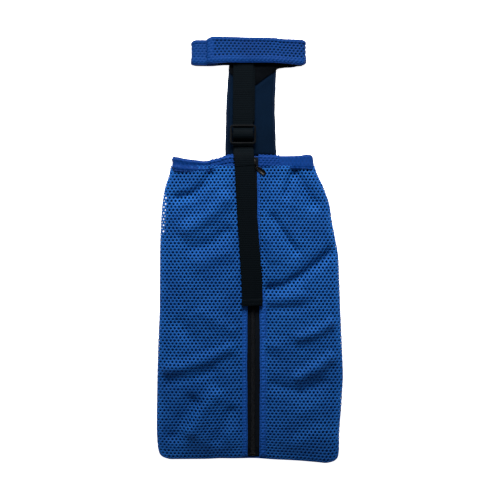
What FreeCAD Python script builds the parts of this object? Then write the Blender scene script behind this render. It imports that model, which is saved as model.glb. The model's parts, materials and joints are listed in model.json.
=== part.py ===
import FreeCAD, Part
import os

import Sketcher

# Pet drag bag laid flat: a mesh bag with a zipper down its front, a chest panel that runs up from the
# mouth to a hook-and-loop neck collar, and a webbing back strap held by a tri-glide.
# Millimetres. +X to the bag's right, +Y from the bag's closed end to the collar, +Z up off the ground.

doc = FreeCAD.newDocument("DragBag")
sheet = doc.addObject("Spreadsheet::Sheet", "Sizes")
sheet_rows = []
nodes = {}


class Size:
    """A length that knows both its value and the spreadsheet expression that drives it."""

    def __init__(self, value, text):
        self.value = value
        self.text = text

    def combine(self, other, sign):
        if not isinstance(other, Size):
            other = Size(other, repr(float(other)))
        if sign == "+":
            value = self.value + other.value
        elif sign == "-":
            value = self.value - other.value
        elif sign == "*":
            value = self.value * other.value
        else:
            value = self.value / other.value
        return Size(value, f"({self.text} {sign} {other.text})")

    def __add__(self, other):
        return self.combine(other, "+")

    def __sub__(self, other):
        return self.combine(other, "-")

    def __mul__(self, other):
        return self.combine(other, "*")

    def __truediv__(self, other):
        return self.combine(other, "/")

    def __neg__(self):
        return self.combine(-1.0, "*")


def size(alias, value):
    """Puts one driving dimension in the sheet and returns it."""
    sheet_rows.append(alias)
    row = len(sheet_rows)
    sheet.set(f"A{row}", alias)
    sheet.set(f"B{row}", str(value))
    sheet.setAlias(f"B{row}", alias)
    return Size(float(value), f"Sizes.{alias}")


# ---------------------------------------------------------------- driving dimensions
# outline of the bag laid flat: distance along Y, left side, right side, height of the puffed crest
OUTLINE = (
    (101.0, -98.5, 80.0, 9.8),
    (60.0, -107.0, 97.0, 11.6),
    (0.0, -111.4, 109.4, 12.4),
    (-120.0, -114.2, 114.2, 12.6),
    (-200.0, -115.0, 115.0, 12.2),
    (-252.0, -113.0, 111.0, 10.6),
)
stations = []
for number, (along, left, right, crest) in enumerate(OUTLINE, 1):
    stations.append({
        "y": size(f"station{number}_along", along),
        "left": size(f"station{number}_left", left),
        "right": size(f"station{number}_right", right),
        "crest": size(f"station{number}_crest", crest),
    })

rim_y = size("rim_along", 118.0)
end_y = size("closed_end_along", -266.9)
seam_y = size("bottom_seam_along", -264.0)
seam_left = size("bottom_seam_left", -106.0)
seam_right = size("bottom_seam_right", 104.0)
seam_top = size("bottom_seam_top", 4.6)
rim_left = size("rim_left", -95.6)
rim_right = size("rim_right", 76.9)

cloth_thick = size("base_cloth_thick", 0.8)
mesh_thick = size("mesh_thick", 1.2)
cloth_inset = size("base_cloth_inset", 9.0)
gap = size("gap", 0.3)

zip_x = size("zip_across", 4.1)
tape_low = size("tape_low", 7.0)
tape_thick = size("tape_thick", 0.7)
tape_half = size("tape_half", 13.0)
zip_show = size("zip_visible_half", 6.7)
coil_inner = size("coil_inner", 0.6)
coil_outer = size("coil_outer", 2.9)
coil_low = size("coil_low", 6.7)
coil_high = size("coil_high", 8.8)
zip_end_y = size("zip_end_along", -252.0)
slider_y = size("slider_along", 107.5)
slider_long = size("slider_long", 11.0)
slider_half = size("slider_half", 4.6)
flat_half = size("flat_by_zip_half", 19.0)

casing_thick = size("casing_thick", 2.2)
casing_wall = size("casing_wall", 0.6)
casing_low = size("front_casing_low", 7.7)
elastic_thick = size("elastic_thick", 0.8)

panel_left = size("chest_left", -30.2)
panel_right = size("chest_right", 33.2)
panel_low_y = size("chest_low_along", 121.4)
panel_high_y = size("chest_high_along", 231.0)
panel_outer = size("chest_outer_thick", 0.9)
panel_padding = size("chest_padding_high", 2.0)
panel_top = size("chest_lining_high", 2.7)
binding_wide = size("chest_binding_wide", 3.4)

collar_high_y = size("collar_high_along", 266.9)
collar_left = size("collar_left", -72.5)
collar_right = size("collar_right", 70.0)
collar_tall = size("collar_tall", 11.1)
band_thick = size("band_thick", 1.2)
lining_thick = size("lining_thick", 0.7)
step_x = size("collar_step_across", -14.0)
tab_fold_x = size("tab_fold_across", -23.5)
tab_rise = size("tab_rise", 2.2)
tab_right = size("tab_right", -27.0)
tab_left = size("tab_left", -53.0)
flap_end = size("under_flap_end", -40.0)

strap_wide = size("strap_wide", 25.0)
strap_thick = size("strap_thick", 1.5)
strap_x = size("strap_across", -8.1)
strap_up = size("strap_mid_height", 8.0)
strap_under_y = size("strap_under_along", 128.0)
strap_under = size("strap_under_height", 6.0)
strap_join_y = size("strap_join_along", 160.0)
strap_sewn_y = size("strap_sewn_along", 262.0)
tail_low = size("tail_low", 11.9)
tail_top_y = size("tail_top_along", 106.0)
tail_end_y = size("tail_end_along", -69.0)
tail_top_x = size("tail_top_across", -6.0)
tail_mid_y = size("tail_mid_along", 47.0)
tail_mid_x = size("tail_mid_across", -3.1)
tail_low_y = size("tail_low_along", -33.0)
tail_low_x = size("tail_low_across", 2.5)
tail_end_x = size("tail_end_across", 3.9)
hem_long = size("tail_hem_long", 8.0)

glide_y = size("glide_along", 143.8)
glide_long = size("glide_long", 24.4)
glide_wide = size("glide_wide", 32.5)
glide_low = size("glide_low", 9.1)
glide_thick = size("glide_thick", 2.2)
glide_bar = size("glide_bar", 2.6)
glide_mid_thick = size("glide_middle_bar_thick", 1.4)
loop_thick = size("loop_thick", 1.0)
loop_left = size("loop_left", -20.4)
loop_right = size("loop_right", -3.4)
loop_low = size("loop_low", 3.3)
loop_flat_y = size("loop_flat_along", 126.6)
loop_sewn_y = size("loop_sewn_along", 108.0)

pull_x = size("pull_across", 9.2)
pull_y = size("pull_along", 102.2)
pull_low = size("pull_low", 10.0)
pull_long = size("pull_long", 13.4)
pull_half = size("pull_half", 3.2)
pull_neck = size("pull_neck_half", 1.4)
pull_turn = size("pull_turn", -38.0)

doc.recompute()


# ---------------------------------------------------------------- ways of making a piece
def new_body(label):
    body = doc.addObject("PartDesign::Body", label)
    body.Label = label
    nodes[label] = body
    return body


def bind(item, name, length):
    item.setExpression(name, length.text)


def as_size(number):
    if isinstance(number, Size):
        return number
    return Size(float(number), repr(float(number)))


def add_edge(sketch, start, finish, centre_across):
    """A line, or the half circle whose centre lies at centre_across; says which end comes first."""
    first = FreeCAD.Vector(start[0].value, start[1].value, 0)
    last = FreeCAD.Vector(finish[0].value, finish[1].value, 0)
    if centre_across is None:
        return sketch.addGeometry(Part.LineSegment(first, last)), 1, 2
    side = 1.0
    if centre_across[1] == "left":
        side = -1.0
    middle = (first + last) * 0.5
    middle.x += side * (last - first).Length / 2
    index = sketch.addGeometry(Part.Arc(first, middle, last))
    if sketch.getPoint(index, 1).distanceToPoint(first) < 1e-6:
        return index, 1, 2
    return index, 2, 1


def outline_sketch(body, role, offset, points):
    """A closed outline on one of the body's origin planes, every corner bound to the sheet.

    A point is (across, up), or (across, up, (centre, side)) where a half circle leads to it.
    """
    plane = next(item for item in body.Origin.OriginFeatures if item.Role == role)
    sketch = body.newObject("Sketcher::SketchObject", body.Label + "_outline")
    sketch.AttachmentSupport = (plane, [""])
    sketch.MapMode = "FlatFace"
    sketch.setExpression("AttachmentOffset.Base.z", offset.text)
    corners = [(as_size(point[0]), as_size(point[1])) for point in points]
    edges = []
    for number, point in enumerate(points):
        centre = point[2] if len(point) > 2 else None
        edges.append(add_edge(sketch, corners[number - 1], corners[number], centre))
    for number, point in enumerate(points):
        index, last = edges[number][0], edges[number][2]
        following, opening = edges[(number + 1) % len(points)][:2]
        sketch.addConstraint(Sketcher.Constraint("Coincident", index, last, following, opening))
        for kind, length in (("DistanceX", corners[number][0]), ("DistanceY", corners[number][1])):
            row = sketch.addConstraint(Sketcher.Constraint(kind, index, last, length.value))
            sketch.setExpression(f"Constraints[{row}]", length.text)
        if len(point) > 2:
            centre = as_size(point[2][0])
            row = sketch.addConstraint(Sketcher.Constraint("DistanceX", index, 3, centre.value))
            sketch.setExpression(f"Constraints[{row}]", centre.text)
    return sketch


def add_pad(body, role, points, low, high):
    """Pads an outline from low to high along the plane's axis: XY along Z, XZ along Y, YZ along X."""
    low = as_size(low)
    high = as_size(high)
    offset = -high if role == "XZ_Plane" else low
    sketch = outline_sketch(body, role, offset, points)
    pad = body.newObject("PartDesign::Pad", body.Label + "_pad")
    pad.Profile = sketch
    bind(pad, "Length", high - low)
    return pad


def prism(label, role, points, low, high):
    body = new_body(label)
    add_pad(body, role, points, low, high)
    return body


def box(label, across, along, up):
    """A rectangular strip between two values on each axis."""
    item = doc.addObject("Part::Box", label)
    item.Label = label
    for name, axis, (low, high) in (
        ("Length", "x", across),
        ("Width", "y", along),
        ("Height", "z", up),
    ):
        low = as_size(low)
        high = as_size(high)
        bind(item, name, high - low)
        bind(item, f"Placement.Base.{axis}", low)
    nodes[label] = item
    return item


def ribbon(label, route, thick, across):
    """A webbing run: its mid line as (along, up) points, its thickness, and its two sides in X."""
    upper = [(along, as_size(up) + thick / 2) for along, up in route]
    lower = [(along, as_size(up) - thick / 2) for along, up in reversed(route)]
    return prism(label, "YZ_Plane", upper + lower, across[0], across[1])


# ---------------------------------------------------------------- bag
def side_run(side, inset):
    """The points of one side of the bag, mouth to closed end, moved in by inset."""
    points = []
    for station in stations:
        points.append((station[side] - inset, station["y"]))
    seam = seam_left if side == "left" else seam_right
    points.append((seam - inset, seam_y))
    return points


def flat_outline(inset):
    right = side_run("right", inset)
    left = side_run("left", -inset)
    return left + list(reversed(right))


def front_section(station, side):
    """Cross-section of one half of the front: zip edge, crest, shoulder and side, one mesh thick."""
    turn = -1.0 if side == "left" else 1.0
    edge = zip_x + zip_show * turn
    flat = zip_x + flat_half * turn
    rim = station[side]
    crest_x = (flat + rim) / 2
    shoulder = rim - mesh_thick * (7.0 * turn)
    top = tape_low + tape_thick + mesh_thick
    crest = station["crest"]
    shoulder_up = (top + crest) / 2 - 1.2
    foot = cloth_thick + mesh_thick
    inner = rim - mesh_thick * turn
    outside = [(edge, top), (flat, top), (crest_x, crest), (shoulder, shoulder_up),
               (rim, 5.0), (rim, foot)]
    inside = [
        (inner, foot),
        (inner, 4.6),
        (shoulder, shoulder_up - mesh_thick),
        (crest_x, crest - mesh_thick),
        (flat, top - mesh_thick),
        (edge, top - mesh_thick),
    ]
    return outside + inside


def seam_section(side):
    """The same twelve corners where the front comes down to the bottom seam."""
    turn = -1.0 if side == "left" else 1.0
    edge = zip_x + zip_show * turn
    flat = zip_x + flat_half * turn
    rim = seam_left if side == "left" else seam_right
    crest_x = (flat + rim) / 2
    shoulder = rim - mesh_thick * (5.0 * turn)
    foot = cloth_thick + mesh_thick
    inner = rim - mesh_thick * turn
    under = seam_top - mesh_thick
    outside = [(edge, seam_top), (flat, seam_top), (crest_x, seam_top), (shoulder, seam_top),
               (rim, 3.2), (rim, foot)]
    inside = [(inner, foot), (inner, 2.8), (shoulder, under), (crest_x, under),
              (flat, under), (edge, under)]
    return outside + inside


def make_front(side):
    body = new_body("front_mesh_" + side)
    sketches = [outline_sketch(body, "XZ_Plane", -station["y"], front_section(station, side))
                for station in stations]
    sketches.append(outline_sketch(body, "XZ_Plane", -seam_y, seam_section(side)))
    loft = body.newObject("PartDesign::AdditiveLoft", body.Label + "_loft")
    loft.Profile = sketches[0]
    loft.Sections = sketches[1:]
    loft.Ruled = True


def make_bag():
    prism("base_cloth", "XY_Plane", flat_outline(cloth_inset), 0.0, cloth_thick)
    prism("back_mesh_panel", "XY_Plane", flat_outline(0.0), cloth_thick, cloth_thick + mesh_thick)
    for side, turn in (("left", -1.0), ("right", 1.0)):
        make_front(side)
        outer = side_run(side, mesh_thick * (1.5 * turn))
        inner = side_run(side, mesh_thick * (4.0 * turn))
        prism("side_binding_" + side, "XY_Plane", outer + list(reversed(inner)),
              cloth_thick + mesh_thick, cloth_thick + mesh_thick + 0.8)
    box("bottom_binding", (seam_left, seam_right), (end_y, seam_y), (0.0, seam_top))


# ---------------------------------------------------------------- elasticated rim
def casing_profile(low):
    """A hem folded over at the mouth, with room inside for the elastic."""
    start = stations[0]["y"]
    high = low + casing_thick
    return [
        (start, low),
        (rim_y, low),
        (rim_y, high),
        (start, high),
        (start, high - casing_wall),
        (rim_y - casing_wall, high - casing_wall),
        (rim_y - casing_wall, low + casing_wall),
        (start, low + casing_wall),
    ]


def make_rim():
    start = stations[0]["y"]
    elastic_run = (start + 1.0, rim_y - casing_wall - 0.2)
    margin = (casing_thick - elastic_thick) / 2
    sides = (
        ("left", rim_left, zip_x - zip_show - gap, rim_left, rim_left + casing_thick),
        ("right", zip_x + zip_show + gap, rim_right, rim_right - casing_thick, rim_right),
    )
    for side, low_x, high_x, wall_low, wall_high in sides:
        body = new_body("rim_casing_" + side)
        add_pad(body, "YZ_Plane", casing_profile(casing_low), low_x, high_x)
        wall = [(wall_low, start), (wall_high, start), (wall_high, rim_y), (wall_low, rim_y)]
        add_pad(body, "XY_Plane", wall, casing_thick + gap, casing_low + casing_wall)
        box("rim_elastic_" + side, (low_x + 3.0, high_x - 3.0), elastic_run,
            (casing_low + margin, casing_low + margin + elastic_thick))
    prism("rim_casing_back", "YZ_Plane", casing_profile(as_size(0.0)), rim_left, rim_right)
    box("rim_elastic_back", (rim_left + 3.0, rim_right - 3.0), elastic_run,
        (margin, margin + elastic_thick))


# ---------------------------------------------------------------- zipper
def make_zipper():
    tape_high = tape_low + tape_thick
    for side, turn in (("left", -1.0), ("right", 1.0)):
        near = zip_x + coil_inner * turn
        far = zip_x + coil_outer * turn
        edge = zip_x + tape_half * turn
        coil = (far, near) if side == "left" else (near, far)
        tape = (edge, far) if side == "left" else (far, edge)
        box("zipper_coil_" + side, coil, (zip_end_y + 5.0, rim_y - 4.0), (coil_low, coil_high))
        box("zipper_tape_" + side, tape, (zip_end_y, rim_y - 2.0), (tape_low, tape_high))
    stops = doc.addObject("Part::Compound", "zipper_top_stops")
    stops.Label = "zipper_top_stops"
    pair = []
    for side, turn in (("left", -1.0), ("right", 1.0)):
        low_x = zip_x + coil_inner * turn if side == "right" else zip_x - coil_outer
        stop = box("top_stop_" + side, (low_x, low_x + coil_outer - coil_inner),
                   (rim_y - 3.8, rim_y - 2.2), (coil_low, coil_high))
        nodes.pop("top_stop_" + side)
        pair.append(stop)
    stops.Links = pair
    nodes["zipper_top_stops"] = stops
    box("zipper_bottom_stop", (zip_x - coil_outer, zip_x + coil_outer),
        (zip_end_y + 1.0, zip_end_y + 4.8), (coil_low, coil_high))
    make_slider()


def slider_profile():
    """Section across the zip: two plates with lips round the coils, joined by a thin wall between them."""
    half = slider_half
    lip = coil_outer + gap
    web = coil_inner - gap
    low = coil_low - gap - 0.9
    floor = coil_low - gap
    lip_low = tape_low - gap
    lip_high = tape_low + tape_thick + gap
    roof = coil_high + gap
    top = roof + 0.8
    right = [(half, low), (half, lip_low), (lip, lip_low), (lip, floor), (web, floor), (web, roof),
             (lip, roof), (lip, lip_high), (half, lip_high), (half, top)]
    points = [(zip_x + across, up) for across, up in right]
    points += [(zip_x - across, up) for across, up in reversed(right)]
    return points


def make_slider():
    low_y = slider_y - slider_long / 2
    high_y = slider_y + slider_long / 2
    body = new_body("zipper_slider")
    add_pad(body, "XZ_Plane", slider_profile(), low_y, high_y)
    top = coil_high + gap + 0.8
    bridge = [
        (low_y + 1.2, top - 0.2),
        (low_y + 2.4, top - 0.2),
        (low_y + 2.4, top + 1.0),
        (high_y - 2.4, top + 1.0),
        (high_y - 2.4, top - 0.2),
        (high_y - 1.2, top - 0.2),
        (high_y - 1.2, top + 1.2),
        (high_y - 2.2, top + 1.7),
        (low_y + 2.2, top + 1.7),
        (low_y + 1.2, top + 1.2),
    ]
    add_pad(body, "YZ_Plane", bridge, zip_x - 0.9, zip_x + 0.9)
    link = [
        (zip_x - 0.4, slider_y + 0.9),
        (zip_x - 0.4, slider_y - 1.1),
        (pull_x - 1.6, pull_y - 0.8),
        (pull_x - 0.5, pull_y + 0.6),
    ]
    prism("zipper_link", "XY_Plane", link, top + 0.2, top + 0.8)
    body = new_body("zipper_pull")
    blade = [
        (0.0, -pull_neck),
        (4.6, -pull_half),
        (pull_long - pull_half, -pull_half),
        (pull_long - pull_half, pull_half, (pull_long - pull_half, "right")),
        (4.6, pull_half),
        (0.0, pull_neck),
    ]
    add_pad(body, "XY_Plane", blade, 0.0, 1.2)
    bind(body, "Placement.Base.x", pull_x)
    bind(body, "Placement.Base.y", pull_y)
    bind(body, "Placement.Base.z", pull_low)
    bind(body, "Placement.Rotation.Angle", pull_turn)


# ---------------------------------------------------------------- chest panel
def make_chest():
    run = (panel_low_y, panel_high_y)
    inner = (panel_left + binding_wide, panel_right - binding_wide)
    box("chest_panel_outer", inner, run, (0.0, panel_outer))
    box("chest_panel_padding", inner, run, (panel_outer, panel_padding))
    box("chest_panel_lining", inner, run, (panel_padding, panel_top))
    box("chest_binding_left", (panel_left, panel_left + binding_wide), run, (0.0, panel_top))
    box("chest_binding_right", (panel_right - binding_wide, panel_right), run, (0.0, panel_top))
    box("chest_panel_fold", (panel_left, panel_right), (rim_y + gap, panel_low_y - gap), (0.0, panel_top))


# ---------------------------------------------------------------- collar
def fold_profile(inset, thick):
    """The collar's U: back run, half round at the right, front run that steps up over the tab's fold."""
    radius = collar_tall / 2
    centre = collar_right - radius
    left_end = collar_left + radius
    low = inset
    high = collar_tall - inset
    return [
        (left_end, low),
        (centre, low),
        (centre, high, (centre, "right")),
        (step_x, high),
        (tab_fold_x, high + tab_rise),
        (tab_fold_x, high + tab_rise - thick),
        (step_x, high - thick),
        (centre, high - thick),
        (centre, low + thick, (centre, "right")),
        (left_end, low + thick),
    ]


def make_collar():
    run = (panel_high_y, collar_high_y)
    prism("collar_band", "XZ_Plane", fold_profile(as_size(0.0), band_thick), run[0], run[1])
    prism("collar_lining", "XZ_Plane", fold_profile(band_thick, lining_thick), run[0], run[1])
    radius = collar_tall / 2
    centre = collar_left + radius
    thick = band_thick + lining_thick
    fold = [
        (centre - 0.2, collar_tall),
        (centre - 0.2, 0.0, (centre - 0.2, "left")),
        (centre - 0.2, thick),
        (centre - 0.2, collar_tall - thick, (centre - 0.2, "left")),
    ]
    prism("collar_left_fold", "XZ_Plane", fold, run[0], run[1])
    box("collar_under_flap", (centre + gap, flap_end), run, (collar_tall - thick, collar_tall - 0.6))
    box("collar_loop_patch", (tab_left + 1.0, flap_end - 1.0), (run[0] + 3.0, run[1] - 3.0),
        (collar_tall - 0.6, collar_tall))
    under = collar_tall + tab_rise - thick
    box("collar_tab", (tab_left, tab_right), run, (under + lining_thick, collar_tall + tab_rise))
    box("collar_hook_patch", (tab_left + 1.0, flap_end - 1.0), (run[0] + 3.0, run[1] - 3.0),
        (under, under + lining_thick))
    box("collar_tab_fold", (tab_right + gap, tab_fold_x - gap), run, (under, collar_tall + tab_rise))


# ---------------------------------------------------------------- back strap and tri-glide
def loop_profile():
    """The adjuster's loop: sewn to the rim, it runs under the strap and wraps the middle bar."""
    rim_top = casing_low + casing_thick
    half = glide_bar / 2 + gap + loop_thick
    ring_low = glide_low - gap - loop_thick
    ring_high = glide_low + glide_mid_thick + gap + loop_thick
    turn_y = glide_y - half - 2.0
    outside = [
        (loop_sewn_y, rim_top + 0.05),
        (rim_y + 0.1, rim_top + 0.05),
        (loop_flat_y, loop_low),
        (turn_y, loop_low),
        (glide_y + half, ring_low),
        (glide_y + half, ring_high),
        (glide_y - half, ring_high),
    ]
    inside = [
        (glide_y - half, ring_high - loop_thick),
        (glide_y + half - loop_thick, ring_high - loop_thick),
        (glide_y + half - loop_thick, ring_low + loop_thick),
        (turn_y, loop_low + loop_thick + gap),
        (loop_flat_y + 0.6, loop_low + loop_thick + gap),
        (rim_y + 0.4, rim_top + 0.55),
        (loop_sewn_y, rim_top + 0.55),
    ]
    return outside + inside


def make_strap():
    sides = (strap_x - strap_wide / 2, strap_x + strap_wide / 2)
    over_bar = glide_low + glide_mid_thick + gap + loop_thick + strap_thick / 2 + 0.15
    on_rim = tail_low + strap_thick / 2
    back_route = [
        (strap_join_y, strap_up),
        (strap_join_y + 40.0, strap_up - 0.2),
        (panel_high_y, strap_up + 0.2),
        (strap_sewn_y, strap_up + 0.2),
    ]
    buckle_route = [
        (strap_under_y, strap_under),
        (glide_y - 9.2, strap_under - 0.25),
        (glide_y - 3.9, over_bar),
        (glide_y + 3.9, over_bar),
        (glide_y + 8.6, strap_up),
        (strap_join_y - gap, strap_up),
    ]
    bridge_route = [
        (tail_top_y + gap, on_rim),
        (rim_y - 3.6, on_rim),
        (rim_y + 0.6, on_rim - 1.15),
        (strap_under_y - gap, strap_under),
    ]
    ribbon("back_strap", back_route, strap_thick, sides)
    ribbon("strap_buckle_run", buckle_route, strap_thick, sides)
    ribbon("strap_bridge", bridge_route, strap_thick, (strap_x - 12.0, strap_x + 12.0))
    prism("adjuster_loop", "YZ_Plane", loop_profile(), loop_left, loop_right)
    make_tail()
    make_glide()


def make_tail():
    """The free tail drifts to the bag's right as it lies down the front."""
    line = (
        (tail_top_y, tail_top_x),
        (tail_mid_y, tail_mid_x),
        (tail_low_y, tail_low_x),
        (tail_end_y, tail_end_x),
    )
    left = [(across - strap_wide / 2, along) for along, across in line]
    right = [(across + strap_wide / 2, along) for along, across in reversed(line)]
    prism("strap_tail", "XY_Plane", left + right, tail_low, tail_low + strap_thick)
    hem_x = tail_end_x - 0.2
    hem_half = strap_wide / 2 - 0.1
    box("strap_tail_hem", (hem_x - hem_half, hem_x + hem_half), (tail_end_y, tail_end_y + hem_long),
        (tail_low + strap_thick, tail_low + strap_thick * 2.0))


def make_glide():
    body = new_body("tri_glide")
    low_x = strap_x - glide_wide / 2
    high_x = strap_x + glide_wide / 2
    low_y = glide_y - glide_long / 2
    high_y = glide_y + glide_long / 2
    frame = [(low_x, low_y), (high_x, low_y), (high_x, high_y), (low_x, high_y)]
    add_pad(body, "XY_Plane", frame, glide_low, glide_low + glide_thick)
    doc.recompute()
    whole = body.Shape.Volume
    slots = ((low_y + glide_bar, glide_y - glide_bar / 2), (glide_y + glide_bar / 2, high_y - glide_bar))
    for first, last in slots:
        slot = [
            (low_x + glide_bar, first),
            (high_x - glide_bar, first),
            (high_x - glide_bar, last),
            (low_x + glide_bar, last),
        ]
        sketch = outline_sketch(body, "XY_Plane", glide_low, slot)
        pocket = body.newObject("PartDesign::Pocket", "glide_slot")
        pocket.Profile = sketch
        pocket.Reversed = True
        bind(pocket, "Length", glide_thick)
    middle = [
        (low_x + glide_bar, glide_y - glide_bar),
        (high_x - glide_bar, glide_y - glide_bar),
        (high_x - glide_bar, glide_y + glide_bar),
        (low_x + glide_bar, glide_y + glide_bar),
    ]
    sketch = outline_sketch(body, "XY_Plane", glide_low + glide_mid_thick, middle)
    lowered = body.newObject("PartDesign::Pocket", "glide_middle_bar")
    lowered.Profile = sketch
    lowered.Reversed = True
    bind(lowered, "Length", glide_thick)
    doc.recompute()
    if body.Shape.Volume > 0.6 * whole:
        raise RuntimeError("the tri-glide's slots were not cut")
    corners = []
    for number, edge in enumerate(body.Shape.Edges, 1):
        reach = edge.BoundBox
        at_side = abs(abs(reach.XMin - strap_x.value) - glide_wide.value / 2) < 0.01
        at_end = abs(abs(reach.YMin - glide_y.value) - glide_long.value / 2) < 0.01
        upright = reach.ZLength > 1.0 and reach.XLength < 0.01 and reach.YLength < 0.01
        if at_side and at_end and upright:
            corners.append(f"Edge{number}")
    rounded = body.newObject("PartDesign::Fillet", "glide_corners")
    rounded.Base = (lowered, corners)
    bind(rounded, "Radius", glide_bar - 0.4)
    body.Tip = rounded


make_bag()
make_rim()
make_zipper()
make_chest()
make_collar()
make_strap()
doc.recompute()

for item in doc.Objects:
    if "Invalid" in item.State or "Error" in item.State:
        raise RuntimeError(f"{item.Label} did not build: {item.State}")
for label, item in nodes.items():
    if item.Shape.isNull() or not item.Shape.isValid():
        raise RuntimeError(f"{label} has no valid shape")

os.makedirs("parts", exist_ok=True)
whole = FreeCAD.BoundBox()
for label, item in nodes.items():
    item.Shape.exportStep(f"parts/{label}.step")
    whole.add(item.Shape.BoundBox)
print(len(nodes), "pieces, box", whole)
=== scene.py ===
import json
import math

import bpy
import numpy as np
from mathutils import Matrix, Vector


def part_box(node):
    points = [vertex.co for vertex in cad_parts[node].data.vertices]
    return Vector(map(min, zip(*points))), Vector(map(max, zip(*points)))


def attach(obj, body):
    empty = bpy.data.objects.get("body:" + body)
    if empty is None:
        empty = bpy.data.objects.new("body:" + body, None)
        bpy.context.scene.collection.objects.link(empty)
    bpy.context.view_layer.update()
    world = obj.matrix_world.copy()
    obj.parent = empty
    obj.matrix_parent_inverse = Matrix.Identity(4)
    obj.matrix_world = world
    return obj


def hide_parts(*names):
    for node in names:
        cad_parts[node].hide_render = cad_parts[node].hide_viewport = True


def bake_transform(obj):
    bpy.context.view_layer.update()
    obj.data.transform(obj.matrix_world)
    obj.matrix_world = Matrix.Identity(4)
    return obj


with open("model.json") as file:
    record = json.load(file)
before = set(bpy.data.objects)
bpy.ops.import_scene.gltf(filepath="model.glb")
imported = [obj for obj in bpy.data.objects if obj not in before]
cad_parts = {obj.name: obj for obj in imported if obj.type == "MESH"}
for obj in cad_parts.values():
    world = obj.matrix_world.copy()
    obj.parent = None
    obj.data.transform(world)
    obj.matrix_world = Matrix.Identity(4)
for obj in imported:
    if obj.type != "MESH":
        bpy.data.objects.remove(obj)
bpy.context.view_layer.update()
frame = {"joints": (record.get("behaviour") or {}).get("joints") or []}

# A mesh drag bag laid flat, seen from straight above. All sizes below are in millimetres and are turned
# into metres when a mesh is made. +X right, +Y towards the collar, +Z up.
MM = 0.001
PITCH = 4.9          # across, from one hole of the air mesh to the next in its row
ROW = 3.8            # along, from one row of holes to the next, each row half a pitch over
HOLE = (1.60, 1.52)  # half a full hole's width and length


def node_box(name):
    """A CAD node's low and high corner in millimetres."""
    low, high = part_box(name)
    return np.array(low) / MM, np.array(high) / MM


def spread(name, axis):
    """Where a CAD node begins and ends along one axis."""
    low, high = node_box(name)
    return low[axis], high[axis]


# ---------------------------------------------------------------- places taken from the frame
ZIP_X = float(np.mean(spread("zipper_slider", 0)))
SLIDER_Y = float(np.mean(spread("zipper_slider", 1)))
TAPE_TOP = spread("zipper_tape_left", 2)[1]
RIM_LEFT, RIM_RIGHT = spread("rim_casing_back", 0)
RIM_RIGHT += 1.5             # the mouth spreads a little further at its right end
RIM_Y = spread("rim_casing_back", 1)[1]
RIM_TOP = spread("rim_casing_left", 2)[1]
MESH_TOP = RIM_Y - 13.0      # the bag's mesh ends here, under the mouth's hem
SHEET_TOP = RIM_Y - 13.5     # and so do the layers behind it
END_Y = spread("bottom_binding", 1)[0]
STRAP_X = float(np.mean(spread("back_strap", 0)))
STRAP_WIDE = spread("back_strap", 0)[1] - spread("back_strap", 0)[0]
STRAP_THICK = 1.5
TAIL_LOW, TAIL_HIGH = spread("strap_tail", 2)
TAIL_END, TAIL_START = spread("strap_tail", 1)
PANEL_LOW_Y = spread("chest_panel_fold", 1)[0]
PANEL_HIGH_Y = spread("chest_panel_outer", 1)[1]
COLLAR_LOW_Y, COLLAR_HIGH_Y = spread("collar_band", 1)
COLLAR_LEFT = spread("collar_left_fold", 0)[0] - 0.7
COLLAR_RIGHT = spread("collar_band", 0)[1] + 0.8
COLLAR_FLAT = 36.0           # width of its mesh before it is drawn in to the band's edges
COLLAR_REST = 0.9            # height of the band's middle layer where it lies on the ground
COLLAR_TALL = spread("collar_loop_patch", 2)[1]
TAB_LEFT, TAB_RIGHT = spread("collar_tab", 0)
TAB_TOP = spread("collar_tab", 2)[1]
FLAP_END = spread("collar_under_flap", 0)[1]
GLIDE_LOW, GLIDE_HIGH = node_box("tri_glide")
JOINTS = {joint["name"]: joint for joint in frame["joints"]}


def cubic(xs, ys, slopes, x):
    """A smooth curve through points in order, with the given slope at each."""
    k = np.clip(np.searchsorted(xs, x) - 1, 0, len(xs) - 2)
    h = xs[k + 1] - xs[k]
    t = (x - xs[k]) / h
    return ((2 * t**3 - 3 * t**2 + 1) * ys[k] + (t**3 - 2 * t**2 + t) * h * slopes[k]
            + (3 * t**2 - 2 * t**3) * ys[k + 1] + (t**3 - t**2) * h * slopes[k + 1])


def smooth_line(points):
    """A smooth function through a few (position, value) pairs that never swings past them."""
    xs, ys = np.array(sorted(points), float).T
    steps = np.diff(ys) / np.diff(xs)
    slopes = np.concatenate([steps[:1], np.zeros(len(xs) - 2), steps[-1:]])
    for k in range(1, len(xs) - 1):
        if steps[k - 1] * steps[k] > 0:
            slopes[k] = 2 * steps[k - 1] * steps[k] / (steps[k - 1] + steps[k])
    return lambda x: cubic(xs, ys, slopes, np.clip(np.asarray(x, float), xs[0], xs[-1]))


def ease(t):
    """0 below 0, 1 above 1, and smooth between."""
    t = np.clip(t, 0.0, 1.0)
    return t * t * (3 - 2 * t)


# the bag's two sides, mouth to closed end, and its bottom edge
SIDE = {
    "left": smooth_line([(118, -95.6), (99, -99.6), (92, -101), (82, -104.6), (72, -107), (52, -109.6),
                         (32, -110.9), (0, -112.0), (-80, -112.6), (-98, -113.4), (-130, -114.6),
                         (-170, -115.6), (-220, -116.2), (-236, -115.8), (-248, -115.0), (-256, -113.8),
                         (-260, -112.4), (-262.6, -110.4), (-264.6, -106.0)]),
    "right": smooth_line([(118, 78.4), (107, 81.0), (97, 83.8), (94, 85.0), (82, 90.9), (72, 94.9),
                          (62, 98.5), (52, 100.9), (32, 103.8), (22, 105.9), (12, 107.5), (2, 109.7),
                          (-8, 111.1), (-33, 112.2), (-70, 113.5), (-98, 114.7), (-130, 116.1),
                          (-158, 117.1), (-178, 116.0), (-198, 114.8), (-228, 112.5), (-252, 112.0),
                          (-259, 110.9), (-262.6, 108.6), (-264.6, 104.5)]),
}
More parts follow.
